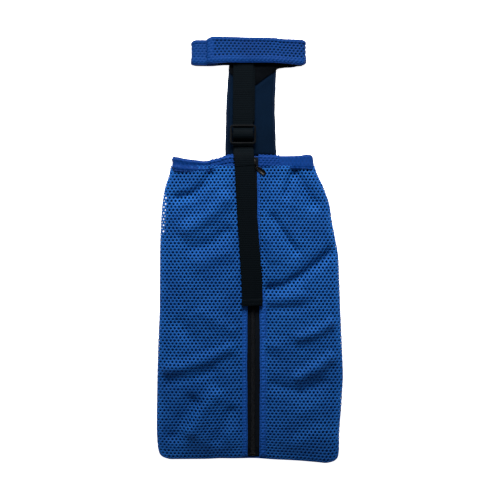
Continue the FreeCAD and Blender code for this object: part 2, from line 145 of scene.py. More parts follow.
BOTTOM_SHIFT = smooth_line([(-112, 4.2), (-104, 3.6), (-96, 3.1), (-50, 3.4), (-42, 4.1), (-20, 4.0),
                            (4, 4.4), (30, 2.8), (60, 1.3), (80, -0.3), (98, -1.7), (106, -1.2),
                            (112, 0.8)])
TURN = {"left": -1.0, "right": 1.0}
FULL_WIDTH = {"left": 119.0, "right": 110.6}   # of each half, zipper to side, where it is widest
DRAWN_IN = {"left": 0.0, "right": 3.2}         # towards the zipper, under the strap
BAG_ROWS = (int(END_Y / ROW) - 1, int(RIM_Y / ROW) + 1)
SQUARE = ((-1, -1), (1, -1), (1, 1), (-1, 1))

# folds of the front: height (down is negative), width, and the line each one follows
FOLDS = (
    (-6.4, 5.6, ((-93, 64), (-72, 69), (-57, 82), (-47, 97))),
    (5.6, 9.5, ((-84, 22), (-52, 40), (-27, 66))),
    (-3.6, 8.0, ((-76, 0), (-46, 9), (-24, 26))),
    (2.6, 10.0, ((-70, -18), (-22, -3))),
    (2.8, 9.0, ((-64, -77), (-18, -103))),
    (-2.8, 10.0, ((-90, -88), (-66, -118))),
    (4.7, 7.2, ((-110, -151), (-81, -146), (-56, -138), (-22, -122))),
    (-2.0, 7.0, ((-110, -165), (-74, -161), (-43, -149))),
    (5.8, 10.0, ((-40, -178), (-58, -200), (-74, -232))),
    (-4.6, 8.5, ((-22, -198), (-32, -220), (-42, -246))),
    (-5.4, 11.0, ((-68, -186), (-84, -212), (-96, -240))),
    (-6.2, 6.6, ((18, -50), (42, -46), (65, -32), (90, -13), (108, 2))),
    (2.8, 7.0, ((19, -63), (44, -63), (68, -56))),
    (-1.8, 6.0, ((24, -75), (63, -73), (80, -66))),
    (-5.0, 5.4, ((28, 43), (44, 18), (60, -4))),
    (-5.0, 4.6, ((57, 100), (50, 86), (45, 66))),
    (-6.4, 7.0, ((56, 100), (69, 77), (82, 54))),
    (2.8, 9.0, ((22, 16), (30, -14))),
    (5.0, 7.0, ((58, -111), (84, -103), (106, -90))),
    (5.6, 7.0, ((58, -161), (82, -149), (105, -133))),
    (-3.2, 8.0, ((26, -168), (63, -178), (98, -164))),
    (2.6, 8.0, ((14, -119), (40, -122))),
    (1.4, 9.0, ((60, -205), (92, -190))),
    (-1.8, 9.0, ((46, -238), (84, -214))),
)


def creases(x, y):
    """Height of the front's folds at each (x, y), with small unevenness between them."""
    total = np.zeros_like(x)
    for height, width, line in FOLDS:
        nearest = np.full_like(x, 1e9)
        taper = np.zeros_like(x)
        last = len(line) - 2
        for number, ((ax, ay), (bx, by)) in enumerate(zip(line[:-1], line[1:])):
            dx, dy = bx - ax, by - ay
            length = math.hypot(dx, dy)
            t = ((x - ax) * dx + (y - ay) * dy) / length**2
            held = np.clip(t, 0, 1)
            gap = np.hypot(x - ax - held * dx, y - ay - held * dy)
            fade = np.ones_like(x)
            if number == 0:
                fade = fade * ease(t * length / 14.0 + 0.6)
            if number == last:
                fade = fade * ease((1 - t) * length / 14.0 + 0.6)
            closer = gap < nearest
            nearest = np.where(closer, gap, nearest)
            taper = np.where(closer, fade, taper)
        total += height * taper * np.exp(-(nearest / width) ** 2)
    total += 0.6 * np.sin(x / 17.0 + 0.7 * np.sin(y / 23.0)) * np.sin(y / 29.0 + 1.3)
    total += 0.4 * np.sin(x / 7.3 + y / 11.0 + 0.5) * np.sin(y / 13.0 - x / 31.0)
    total += 0.16 * np.sin(x / 2.9 - y / 6.1) * np.sin(y / 5.3 + x / 9.7)
    return total


# ---------------------------------------------------------------- making meshes
def join_parts(parts):
    """One vertex and face list from several."""
    verts, faces = [], []
    for part_verts, part_faces in parts:
        start = len(verts)
        verts.extend(np.asarray(part_verts, float).tolist())
        faces.extend([tuple(start + k for k in face) for face in part_faces])
    return verts, faces


def tube(rings, closed=False):
    """Faces through a run of rings, each an (n, 3) array, with caps at both ends unless it closes."""
    rings = [np.asarray(ring, float) for ring in rings]
    count = len(rings[0])
    verts = np.concatenate(rings)
    faces = []
    last = len(rings) if closed else len(rings) - 1
    for i in range(last):
        a, b = i * count, ((i + 1) % len(rings)) * count
        for k in range(count):
            m = (k + 1) % count
            faces.append((a + k, a + m, b + m, b + k))
    if not closed:
        faces.append(tuple(reversed(range(count))))
        faces.append(tuple(range(len(verts) - count, len(verts))))
    return verts, faces


def rounded_section(width, thick, corner, steps, fine=0):
    """A closed rounded rectangle about the origin, as (across, up) points; fine adds points on its flats."""
    points = []
    for sx, sy, start in ((1, 1, 0), (-1, 1, 90), (-1, -1, 180), (1, -1, 270)):
        cx, cy = sx * (width / 2 - corner), sy * (thick / 2 - corner)
        for k in range(steps + 1):
            angle = math.radians(start + 90 * k / steps)
            points.append((cx + corner * math.cos(angle), cy + corner * math.sin(angle)))
        if sx == sy:
            points += [(cx - (2 * cx) * k / fine, sy * thick / 2) for k in range(1, fine)]
    return np.array(points)


def resample(points, step):
    """Evenly spaced points along a smooth curve through the given ones, and how far along each is."""
    points = np.asarray(points, float)
    gaps = np.linalg.norm(np.diff(points, axis=0), axis=1)
    at = np.concatenate([[0.0], np.cumsum(gaps)])
    count = max(2, int(round(at[-1] / step)) + 1)
    along = np.linspace(0, at[-1], count)
    lines = [cubic(at, line, np.gradient(line, at), along) for line in points.T]
    return np.stack(lines, axis=1), along


def ribbon(route, width, thick, step=1.15, ribs=0.0, flare=0.0):
    """A strap through (x, y, z) points: its width stays level, its edges are rounded."""
    line, along = resample(route, step)
    tangent = np.gradient(line, axis=0)
    tangent /= np.linalg.norm(tangent, axis=1)[:, None]
    section = rounded_section(width, thick, corner=thick * 0.45, steps=3, fine=12)
    rings = []
    for k, (point, direction) in enumerate(zip(line, tangent)):
        side = np.cross(direction, (0.0, 0.0, 1.0))
        side /= np.linalg.norm(side)
        up = np.cross(side, direction)
        swell = 1.0 + ribs * math.cos(k * math.pi)
        broad = 1.0 + flare / width * along[k] / along[-1]
        rings.append([point + side * (a * broad) + up * (b * swell) for a, b in section])
    return tube(rings)


def around(count):
    """Evenly spaced angles, once round a circle."""
    return [2 * math.pi * k / count for k in range(count)]


ROUND = [(math.cos(angle), math.sin(angle)) for angle in around(5)]


def bend_points(x, z, radius, first, last):
    """Points round half a circle in x and z, from one angle to another, each with its outward direction."""
    points = []
    for angle in np.linspace(first, last, 13):
        nx, nz = math.cos(math.radians(angle)), math.sin(math.radians(angle))
        points.append((x + radius * nx, z + radius * nz, nx, nz))
    return points


def sheet_faces(rows, count):
    """Faces of a closed sheet: a grid of rows by count points, another after it, and the rim between."""
    total = rows * count
    faces = []
    for i in range(rows - 1):
        for k in range(count - 1):
            a = i * count + k
            faces.append((a, a + count, a + count + 1, a + 1))
            faces.append((total + a, total + a + 1, total + a + count + 1, total + a + count))
    rim = list(range(count)) + [i * count + count - 1 for i in range(1, rows)]
    rim += [(rows - 1) * count + k for k in range(count - 2, -1, -1)]
    rim += [i * count for i in range(rows - 2, 0, -1)]
    for k, a in enumerate(rim):
        b = rim[(k + 1) % len(rim)]
        faces.append((a, b, total + b, total + a))
    return faces


def shrunk(outline, centre, inset):
    """An outline with each point moved towards the centre by inset."""
    offset = outline - centre
    length = np.linalg.norm(offset, axis=1)[:, None]
    return centre + offset * (1 - inset / np.maximum(length, 1e-6))


def plate(outline, low, high, edge=0.25):
    """A flat plate of the given outline with softened edges."""
    outline = np.asarray(outline, float)
    centre = outline.mean(axis=0)
    return tube([[(x, y, z) for x, y in shrunk(outline, centre, inset)]
                 for z, inset in ((low, edge), (low + edge, 0.0), (high - edge, 0.0), (high, edge))])


def stitch_row(path, step, length=1.9):
    """A row of thread stitches along a path of (x, y, z) points, each a small capsule pressed into cloth."""
    radius, lift = 0.26, 0.12
    line, _ = resample(path, step)
    up = Vector((0, 0, 1))
    parts = []
    for start, finish in zip(line[:-1], line[1:]):
        a, b = Vector(start), Vector(finish)
        direction = (b - a).normalized()
        side = direction.cross(up).normalized()
        middle = (a + b) / 2
        rings = []
        for t, size in ((-0.5, 0.25), (-0.38, 0.8), (0.0, 1.0), (0.38, 0.8), (0.5, 0.25)):
            sag = -radius * 1.1 * (abs(t) * 2) ** 2 + lift
            at = middle + direction * (t * length) + up * sag
            wide = radius * size
            rings.append([tuple(at + side * (c * wide) + up * (h * wide)) for c, h in ROUND])
        parts.append(tube(rings))
    return join_parts(parts)


CORNERS = ((0, 2), (1, 1), (1, -1), (0, -2), (-1, -1), (-1, 1))


def perforated(columns, rows, keep, place, size, thick=0.75, dish=0.3, mirrored=False):
    """A sheet of air mesh: six-sided cells round oval holes in offset rows.

    place turns (u, v) on the flat sheet into a point, keep says which holes are cut and size how large they
    are. Threads are proud between the holes and dip towards them, and the sheet has a real thickness.
    """
    cells = []
    for j in range(rows[0], rows[1]):
        for i in range(columns[0], columns[1]):
            a, b = 2 * i + (j % 2), 3 * j
            if keep(a * PITCH / 2, b * ROW / 3):
                cells.append((a, b))
    keys = {}
    corner_uv = []
    corner_index = []
    for a, b in cells:
        ring = []
        for da, db in CORNERS:
            key = (a + da, b + db)
            if key not in keys:
                keys[key] = len(corner_uv)
                corner_uv.append((key[0] * PITCH / 2, key[1] * ROW / 3))
            ring.append(keys[key])
        corner_index.append(ring)
    inner_uv = []
    for a, b in cells:
        u, v = a * PITCH / 2, b * ROW / 3
        grow = (1.0 + 0.07 * math.sin(a * 12.9898 + b * 78.233)) * size(u, v)
        for da, db in CORNERS:
            angle = math.atan2(db * ROW / 3, da * PITCH / 2)
            inner_uv.append((u + HOLE[0] * grow * math.cos(angle), v + HOLE[1] * grow * math.sin(angle)))
    uv = np.array(corner_uv + inner_uv)
    step = 0.4
    base = place(uv[:, 0], uv[:, 1])
    du = place(uv[:, 0] + step, uv[:, 1]) - place(uv[:, 0] - step, uv[:, 1])
    dv = place(uv[:, 0], uv[:, 1] + step) - place(uv[:, 0], uv[:, 1] - step)
    normal = np.cross(du, dv)
    normal /= np.maximum(np.linalg.norm(normal, axis=1), 1e-9)[:, None]
    if mirrored:
        normal = -normal
    outer_count = len(corner_uv)
    height = np.full(len(uv), thick / 2)
    height[outer_count:] -= dish
    top = base + normal * height[:, None]
    bottom = base - normal * (thick / 2)
    total = len(uv)
    faces = []
    edge_use = {}
    for number, ring in enumerate(corner_index):
        hole_start = outer_count + 6 * number
        for k in range(6):
            m = (k + 1) % 6
            o1, o2 = ring[k], ring[m]
            h1, h2 = hole_start + k, hole_start + m
            faces.append((o1, h1, h2, o2))
            faces.append((total + o1, total + o2, total + h2, total + h1))
            faces.append((h1, total + h1, total + h2, h2))
            if edge_use.pop((o2, o1), None) is None:
                edge_use[(o1, o2)] = True
    for o1, o2 in edge_use:
        faces.append((o1, o2, total + o2, total + o1))
    if mirrored:
        faces = [tuple(reversed(face)) for face in faces]
    return np.concatenate([top, bottom]), faces


# ---------------------------------------------------------------- materials
class Shader:
    """A Principled material with a few helpers for its nodes."""

    def __init__(self, name, rough, **sockets):
        self.material = bpy.data.materials.new(name)
        self.material.use_nodes = True
        self.tree = self.material.node_tree
        self.shader = self.tree.nodes["Principled BSDF"]
        self.shader.inputs["Roughness"].default_value = rough
        for key, value in sockets.items():
            self.shader.inputs[key.replace("_", " ")].default_value = value
        self.where = self.node("ShaderNodeTexCoord").outputs["Object"]

    def node(self, kind, inputs=None, **settings):
        item = self.tree.nodes.new(kind)
        for key, value in settings.items():
            setattr(item, key, value)
        for key, value in (inputs or {}).items():
            if isinstance(value, bpy.types.NodeSocket):
                self.tree.links.new(value, item.inputs[key])
            else:
                item.inputs[key].default_value = value
        return item

    def math(self, kind, a, b=0.0):
        return self.node("ShaderNodeMath", {0: a, 1: b, 2: 0.0}, operation=kind).outputs[0]

    def noise(self, scale, detail):
        return self.node("ShaderNodeTexNoise", {"Vector": self.where, "Scale": scale, "Detail": detail,
                                                "Roughness": 0.5}).outputs["Fac"]

    def wave(self, spacing_mm, turn, distort):
        """Ripples with a crest every spacing_mm."""
        vector = self.node("ShaderNodeMapping", {"Vector": self.where, "Rotation": (0, 0, turn)}).outputs[0]
        return self.node("ShaderNodeTexWave", {"Vector": vector, "Scale": 0.314 / (spacing_mm * MM),
                                               "Distortion": distort, "Detail": 0.0,
                                               "Detail Scale": 2.0}).outputs["Fac"]

    def blend(self, factor, low, high):
        mix = self.node("ShaderNodeMix", data_type="RGBA")
        self.tree.links.new(factor, mix.inputs["Factor"])
        for key, value in ((6, low), (7, high)):
            if isinstance(value, bpy.types.NodeSocket):
                self.tree.links.new(value, mix.inputs[key])
            else:
                mix.inputs[key].default_value = (*value, 1.0)
        return mix.outputs[2]

    def ranged(self, factor, limits):
        """A value moved from one range to another."""
        return self.node("ShaderNodeMapRange", {"Value": factor, **limits}).outputs[0]

    def levels(self, factor, low, high):
        return self.ranged(factor, {"From Min": low, "From Max": high})

    def colour(self, socket):
        self.tree.links.new(socket, self.shader.inputs["Base Color"])

    def rough(self, factor, low, high):
        value = self.ranged(factor, {"To Min": low, "To Max": high})
        self.tree.links.new(value, self.shader.inputs["Roughness"])

    def bump(self, height, depth_mm, strength):
        bump = self.node("ShaderNodeBump", {"Height": height, "Distance": depth_mm * MM,
                                            "Strength": strength})
        self.tree.links.new(bump.outputs[0], self.shader.inputs["Normal"])

    def dots(self, size):
        """1 in the holes of the air mesh's pattern and 0 between them: on folded layers it paints shade into
        the holes.
        """
        parts = self.node("ShaderNodeSeparateXYZ", {0: self.where})
        spots = []
        for shift in (0.0, 0.5):
            squares = []
            for place, spacing in ((parts.outputs[0], PITCH), (parts.outputs[1], 2 * ROW)):
                turns = self.math("ADD", self.math("DIVIDE", place, spacing * MM), shift)
                off = self.math("SUBTRACT", self.math("FRACT", turns), 0.5)
                off = self.math("ABSOLUTE", self.math("MULTIPLY", off, spacing))
                squares.append(self.math("POWER", off, 2.0))
            spots.append(self.math("SQRT", self.math("ADD", *squares)))
        near = self.math("MINIMUM", *spots)
        return self.ranged(near, {"From Min": size * 0.75, "From Max": size * 1.25,
                                  "To Min": 1.0, "To Max": 0.0})


def mesh_material(name, dark, light, hole_shade=0.0):
    s = Shader(name, 0.5, Specular_IOR_Level=0.06)
    patches = s.levels(s.noise(28.0, 3.0), 0.3, 0.7)
    fibre = s.noise(1500.0, 2.0)
    colour = s.blend(patches, dark, light)
    colour = s.blend(s.math("MULTIPLY", fibre, 0.55), colour, tuple(min(1.0, c * 1.7) for c in light))
    height = s.math("ADD", s.wave(0.75, 0.6, 1.2), s.wave(0.75, -0.6, 1.2))
    # painted shade: the holes' pattern is darkened in colour as well as dented, standing in for shade inside
    # a folded layer's holes
    if hole_shade:
        spots = s.dots(1.05)
        colour = s.blend(s.math("MULTIPLY", spots, hole_shade), colour, tuple(c * 0.35 for c in dark))
        height = s.math("SUBTRACT", height, s.math("MULTIPLY", spots, 2.0))
    s.colour(colour)
    s.rough(fibre, 0.45, 0.7)
    s.bump(height, 0.10, 0.6)
    return s.material


def cloth_material(name, dark, light, weave=0.55, depth=0.08, shine=0.04):
    s = Shader(name, 0.75, Specular_IOR_Level=shine)
    patches = s.levels(s.noise(35.0, 4.0), 0.3, 0.7)
    fibre = s.noise(2200.0, 2.0)
    colour = s.blend(patches, dark, light)
    s.colour(s.blend(s.math("MULTIPLY", fibre, 0.35), colour, tuple(c * 2.0 for c in light)))
    height = s.math("ADD", s.wave(weave, 0.785, 0.6), s.wave(weave, -0.785, 0.6))
    s.rough(fibre, 0.65, 0.9)
    s.bump(height, depth, 0.7)
    return s.material


def webbing_material(name):
    """Flat ribbed webbing: fine ribs across it crossed by slanting threads."""
    s = Shader(name, 0.6, Specular_IOR_Level=0.012)
    fibre = s.noise(1800.0, 2.0)
    ribs = s.wave(2.3, math.pi / 2, 0.25)
    twill = s.math("ADD", s.wave(1.9, 0.5, 0.3), s.wave(1.9, -0.5, 0.3))
    height = s.math("ADD", ribs, s.math("MULTIPLY", twill, 0.6))
    # painted shade: the colour darkens in the ribs' and threads' grooves, following the same height as the
    # bump
    shade = s.levels(height, 0.2, 2.0)
    colour = s.blend(shade, (0.0003, 0.0007, 0.0010), (0.0020, 0.0036, 0.0050))
    s.colour(s.blend(s.math("MULTIPLY", fibre, 0.25), colour, (0.0035, 0.0055, 0.0075)))
    s.rough(fibre, 0.5, 0.75)
    s.bump(height, 0.16, 0.8)
    return s.material


def plastic_material(name, colour, rough, shine=0.1):
    s = Shader(name, rough, Specular_IOR_Level=shine)
    speck = s.noise(900.0, 3.0)
    patches = s.levels(s.noise(120.0, 3.0), 0.3, 0.7)
    s.colour(s.blend(patches, tuple(c * 0.8 for c in colour), tuple(c * 1.25 for c in colour)))
    s.rough(s.noise(260.0, 4.0), max(0.05, rough - 0.08), rough + 0.12)
    s.bump(speck, 0.02, 0.35)
    return s.material


def metal_material(name):
    """Dark painted zinc, worn to bright metal along its edges."""
    s = Shader(name, 0.38, Metallic=0.85, Specular_IOR_Level=0.1)
    edge = s.node("ShaderNodeNewGeometry").outputs["Pointiness"]
    wear = s.levels(s.math("ADD", edge, s.math("MULTIPLY", s.noise(500.0, 3.0), 0.08)), 0.55, 0.64)
    s.colour(s.blend(wear, (0.006, 0.0057, 0.0055), (0.017, 0.016, 0.015)))
    s.rough(s.noise(300.0, 4.0), 0.28, 0.5)
    s.bump(s.noise(700.0, 2.0), 0.02, 0.3)
    return s.material


BLUE_DARK = (0.0022, 0.0300, 0.134)
BLUE_LIGHT = (0.0062, 0.062, 0.232)
MESH = mesh_material("air_mesh", BLUE_DARK, BLUE_LIGHT)
# painted shade: the collar's air mesh is the bag's fabric in darker copies, making up for the stronger light
# the key throws near the collar
MESH_COLLAR_SHADED = mesh_material("air_mesh_collar", (0.0003, 0.0114, 0.063), (0.0006, 0.0202, 0.097))
COLLAR_FOLDED_SHADED = mesh_material("air_mesh_collar_folded", (0.0004, 0.0128, 0.076), (0.0008, 0.0198, 0.110),
                              hole_shade=0.45)
# the folded layers below get painted shade in their holes
MESH_FOLDED = mesh_material("air_mesh_folded", (0.0028, 0.031, 0.148), (0.005, 0.049, 0.220), hole_shade=0.45)
MESH_HEM = mesh_material("air_mesh_hem", (0.0028, 0.031, 0.148), (0.005, 0.049, 0.220))
# painted shade: the rim's air mesh is the bag's fabric in darker copies, making up for the stronger light
# the key throws near the mouth
RIM_FOLDED_SHADED = mesh_material("air_mesh_rim_folded", (0.0005, 0.0142, 0.083), (0.0010, 0.0228, 0.122),
                           hole_shade=0.3)
RIM_MESH_SHADED = mesh_material("air_mesh_rim", (0.0005, 0.0142, 0.083), (0.0010, 0.0228, 0.122))
# painted shadow: a black knit used only for the plate that stands for the shade the collar and strap cast on
# the chest panel
SHADOW_PLATE_BLACK = cloth_material("painted_shadow_black_knit", (0.0007, 0.0011, 0.0017), (0.0014, 0.0022, 0.0034),
                              weave=0.6)
MESH_INSIDE = cloth_material("inner_cloth", (0.0006, 0.0115, 0.064), (0.0009, 0.0155, 0.084))
BASE = cloth_material("base_cloth_weave", (0.003, 0.02, 0.085), (0.005, 0.03, 0.12), weave=0.9)
NAVY = cloth_material("navy_cloth_knit", (0.0004, 0.0027, 0.0078), (0.0008, 0.0044, 0.0124), weave=0.6,
                      shine=0.02)
# lighter and bluer than the panel's navy: partly a binding tape of its own, partly painted highlight where
# the panel's edges catch the light
NAVY_BINDING_LIGHTER = cloth_material("navy_binding_rib", (0.0012, 0.0035, 0.010), (0.002, 0.007, 0.020), weave=0.5)
WEBBING = webbing_material("webbing_black")
TAPE = cloth_material("zip_tape_weave", (0.0012, 0.0018, 0.003), (0.0022, 0.0034, 0.0055), weave=0.4)
COIL = plastic_material("zip_coil_nylon", (0.0035, 0.0042, 0.0058), 0.5)
METAL = metal_material("zip_metal_worn")
BUCKLE = plastic_material("buckle_black", (0.0022, 0.0025, 0.003), 0.46, 0.03)
THREAD_BLUE = cloth_material("thread_blue", (0.002, 0.015, 0.075), (0.004, 0.026, 0.12), weave=0.3)
THREAD_DARK = cloth_material("thread_dark", (0.0015, 0.0022, 0.0035), (0.003, 0.0045, 0.0065), weave=0.3)
PILE = cloth_material("hook_and_loop_pile", (0.0015, 0.005, 0.018), (0.003, 0.009, 0.03), weave=0.8,
                      depth=0.3)


def add(name, shape, material, body, stands_for=(), smooth=True):
    """One piece from its (vertices, faces) in millimetres; it rides on a body, or, given two bodies, is left
    where it is made.
    """
    data = bpy.data.meshes.new(name)
    data.from_pydata([tuple(v) for v in np.asarray(shape[0], float) * MM], [], [tuple(f) for f in shape[1]])
    data.validate()
    piece = bpy.data.objects.new(name, data)
    bpy.context.scene.collection.objects.link(piece)
    if smooth:
        data.polygons.foreach_set("use_smooth", np.ones(len(data.polygons), bool))
    data.materials.append(material)
    if isinstance(body, str):
        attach(piece, body)
    else:
        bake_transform(piece)
    if stands_for:
        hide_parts(*stands_for)
    return piece


# ---------------------------------------------------------------- front of the bag
def settled(x, y):
    """Y once the closed end's uneven bottom edge is allowed for."""
    begins, full_after = -215.0, 48.0
    return y + BOTTOM_SHIFT(x) * ease((begins - y) / full_after)


def near_end(y):
    """1 over most of the bag, falling to 0 at the bottom seam."""
    seam, full_after = END_Y + 1.0, 34.0
    return ease((y - seam) / full_after)


def narrowing(width, full):
    """How far the mesh is drawn in across where the bag narrows; the rest of it is cut away."""
    return 1.0 - 0.25 * (1.0 - width / full)


def front_place(side):
    """Where a point of one half's mesh lies: u across from the zipper, round the side and under it."""
    turn = TURN[side]
    low = 0.9            # height of the mesh underneath
    tucked = 1.6         # length of mesh that turns down into the bottom seam
    beside_strap = 17.0 if side == "left" else 11.0

    def place(u, v):
        y = np.clip(v, END_Y + tucked, None)
        width = np.abs(SIDE[side](y) - ZIP_X)
        full = near_end(y)
        radius = 2.2 + 1.0 * full
        squeeze = narrowing(width, FULL_WIDTH[side])
        fold_at = (width - radius) / squeeze
        scaled = u * squeeze
        s = np.clip(scaled / width, 0, 1)
        zip_height = TAPE_TOP + 1.5
        fold_height = low + 2 * radius
        mouth = ease((RIM_Y - y) / 60.0)
        top = zip_height + (fold_height - zip_height) * ease((s - 0.35) / 0.65)
        top = top * full + fold_height * (1 - full)
        strap_edge = np.where(y > TAIL_END - 4.0, beside_strap, 9.0)
        loose = ease((scaled - 9.0) / 22.0) * ease((1.0 - s) / 0.22)
        free = ease((scaled - strap_edge) / 9.0) * ease((1.0 - s) / 0.12)
        puff = 3.6 * np.sin(np.pi * s) ** 0.8 * (0.35 + 0.65 * mouth) * full
        top_z = top + puff * loose + creases(ZIP_X + turn * scaled, y) * free * full * (0.5 + 0.5 * mouth)
        arc = np.clip(u - fold_at, 0, None)
        angle = np.clip(arc / radius, 0, np.pi)
        under = np.clip(arc - np.pi * radius, 0, None)
        on_top = u < fold_at
        x = np.where(on_top, scaled, width - radius + radius * np.sin(angle) - under)
        z = np.where(on_top, top_z, low + radius + radius * np.cos(angle))
        tuck = np.clip(np.clip(END_Y + tucked - v, 0, None) / tucked, 0, 1)
        z = z * (1 - tuck) + low * tuck
        across = ZIP_X + turn * x
        return np.stack([across, settled(across, y), np.maximum(z, low - 0.1)], axis=1)

    return place


def open_edge(side, y):
    """1 where the side shows the ground through its holes, for the layers behind stop short there."""
    if side == "left":
        return ease((y - 16.0) / 8.0) * ease((74.0 - y) / 8.0)
    return 0.45 * ease((y - 34.0) / 5.0) * ease((60.0 - y) / 5.0)


def drawn_in(side, y):
    """How much nearer the zipper a half's edge comes, under the strap, towards the mouth."""
    return DRAWN_IN[side] * ease((y + 50.0) / 60.0)


def make_front_half(side):
    """One half of the front: its holes grow from the side's edge inwards."""
    first = 9.4 if side == "left" else 11.3

    def span(v):
        width = abs(SIDE[side](v) - ZIP_X)
        return width, narrowing(width, FULL_WIDTH[side])

    def keep(u, v):
        width, squeeze = span(v)
        last = (width - 3.2) / squeeze + 16.2 - 10.5 * open_edge(side, v)
        return first - drawn_in(side, v) < u * squeeze and u < last and END_Y + 3.4 < v < MESH_TOP

    def hole_size(u, v):
        width, squeeze = span(v)
        return 0.68 + 0.32 * ease((width - u * squeeze - 3.0) / 7.0)

    shape = perforated((0, 30), BAG_ROWS, keep, front_place(side), hole_size, mirrored=side == "left")
    add(f"front_mesh_{side}_cloth", shape, MESH, "bag", ["front_mesh_" + side])


def hem_height(y):
    """Height of the folded edge's middle beside the zipper."""
    return (TAPE_TOP + 1.7) * near_end(y) + 6.2 * (1 - near_end(y))


def make_zip_hem(side, near, far):
    """The mesh's edge folded double beside the zipper: the holes of its upper layer show as dimples, with
    painted shade in them.
    """
    turn = TURN[side]
    narrowest = 3.4

    def sway(y):
        return 0.15 * np.sin(y / 9.0 + turn) + 0.25 * np.sin(y / 31.0) - drawn_in(side, y)

    def wide(y):
        """The hem's width: most of it is drawn in under the strap further up."""
        return (far - near) - (far - near - narrowest) * ease((y + 66.0) / 22.0)

    rings = []
    for y in np.arange(END_Y + 3.2, RIM_Y - 14.0, 3.0):
        middle = near + wide(y) / 2
        along = settled(ZIP_X + turn * middle, y)
        rings.append([(ZIP_X + turn * (middle + sway(y)) + a, along, hem_height(y) + b)
                      for a, b in rounded_section(wide(y), 1.3, corner=0.6, steps=4, fine=6)])
    add(f"zip_hem_{side}", tube(rings), MESH_FOLDED, "bag")

    def place(u, v):
        width = wide(v)
        across = np.clip(u + 1.9, 0.12, width - 0.12)
        x = ZIP_X + turn * (near + across + sway(v))
        edge = np.abs(2 * across / width - 1)
        return np.stack([x, settled(x, v), hem_height(v) + 0.85 - 0.6 * edge**6], axis=1)

    def keep(u, v):
        return u + 1.9 < wide(v) - 0.9 and END_Y + 5.0 < v < MESH_TOP

    shape = perforated((0, 3), BAG_ROWS, keep, place, lambda u, v: 0.7, thick=0.5, dish=0.16,
                       mirrored=side == "left")
    add(f"zip_hem_{side}_mesh", shape, MESH_HEM, "bag")
    ys = np.arange(END_Y + 8.0, RIM_Y - 17.0, 3.0)
    edges = [[1.4 for y in ys]]
    if side == "right":
        edges.append([wide(y) - 1.6 for y in ys if y < -62.0])
    for number, offsets in enumerate(edges):
        path = [(ZIP_X + turn * (near + offset + sway(y)), settled(ZIP_X, y), hem_height(y) + 1.05)
                for y, offset in zip(ys, offsets)]
        add(f"zip_stitches_{side}_{number}", stitch_row(path, step=2.8), THREAD_BLUE, "bag")


# ---------------------------------------------------------------- back of the bag
def flat_sheet(name, inset, reach, low, high, material, nodes):
    """A closed flat cloth of the bag's outline, moved in by inset, slightly uneven on top."""
    ys = np.linspace(SHEET_TOP, END_Y + 2.4, 60)
    across = np.linspace(0, 1, 26)
    top, bottom = [], []
    for y in ys:
        left = SIDE["left"](y) + inset + reach * open_edge("left", y)
        right = SIDE["right"](y) - inset - reach * open_edge("right", y)
        for t in across:
            x = left + (right - left) * t
            uneven = 0.15 * math.sin(x / 19.0) * math.sin(y / 23.0)
            along = settled(x, y)
            top.append((x, along, high + uneven))
            bottom.append((x, along, low + uneven * (low > 0)))
    add(name, (top + bottom, sheet_faces(len(ys), len(across))), material, "bag", nodes)


def make_back():
    flat_sheet("base_cloth_sheet", 9.0, 0.0, 0.0, 0.8, BASE, ["base_cloth"])
    flat_sheet("back_mesh_sheet", 1.0, 3.6, 1.35, 2.0, MESH_INSIDE,
               ["back_mesh_panel", "side_binding_left", "side_binding_right"])
    # the rolled seam round the closed end
    low_y = END_Y + 2.3
    sides = (-236.0, -246.0, -254.0, -260.0)
    left = [(SIDE["left"](y) + 1.2, y) for y in sides]
    right = [(SIDE["right"](y) - 1.2, y) for y in reversed(sides)]
    middle = [(x, low_y) for x in np.arange(-101.0, 101.0, 9.0)]
    line = [(x, settled(x, y), 3.0) for x, y in left + middle + right]
    path, along = resample(line, 2.0)
    tangent = np.gradient(path, axis=0)
    rings = []
    for k, (point, direction) in enumerate(zip(path, tangent)):
        direction = direction / np.linalg.norm(direction)
        side = np.cross(direction, (0, 0, 1.0))
        grow = min(1.0, along[k] / 14.0, (along[-1] - along[k]) / 14.0)
        width = 0.5 + 0.9 * grow
        height = 0.7 + 1.5 * grow
        rings.append([point + side * (width * math.cos(angle)) + np.array((0, 0, height * math.sin(angle)))
                      for angle in around(10)])
    add("bottom_seam_roll", tube(rings), MESH_FOLDED, "bag", ["bottom_binding"])
    stitches = [(x, y + 2.6, 5.6) for x, y, _ in path[14:-14]]
    add("bottom_seam_stitches", stitch_row(stitches, step=2.8), THREAD_BLUE, "bag")


# ---------------------------------------------------------------- elasticated rim
RIM_TOP_LINE = {
    "left": smooth_line([(-97, 116.3), (-90, 115.7), (-83, 114.1), (-70, 112.2), (-61, 111.3),
                         (-57, 110.7), (-50, 111.6), (-47, 112.1), (-37, 114.3), (-31, 116.6),
                         (-22, 118.2), (0, 118.6)]),
    "right": smooth_line([(4, 118.2), (20, 117.6), (45, 117.0), (64, 117.6), (70.5, 118.9), (75.5, 118.6),
                          (79.5, 116.2)]),
}
RIM_LOW_LINE = {
    "left": smooth_line([(-96, 98.4), (-84, 96.8), (-62, 96.2), (-46, 97.8), (-32, 100.2),
                         (-18, 101.4), (0, 102)]),
    "right": smooth_line([(4, 101.6), (30, 101.2), (60, 100.8), (77, 99.8)]),
}


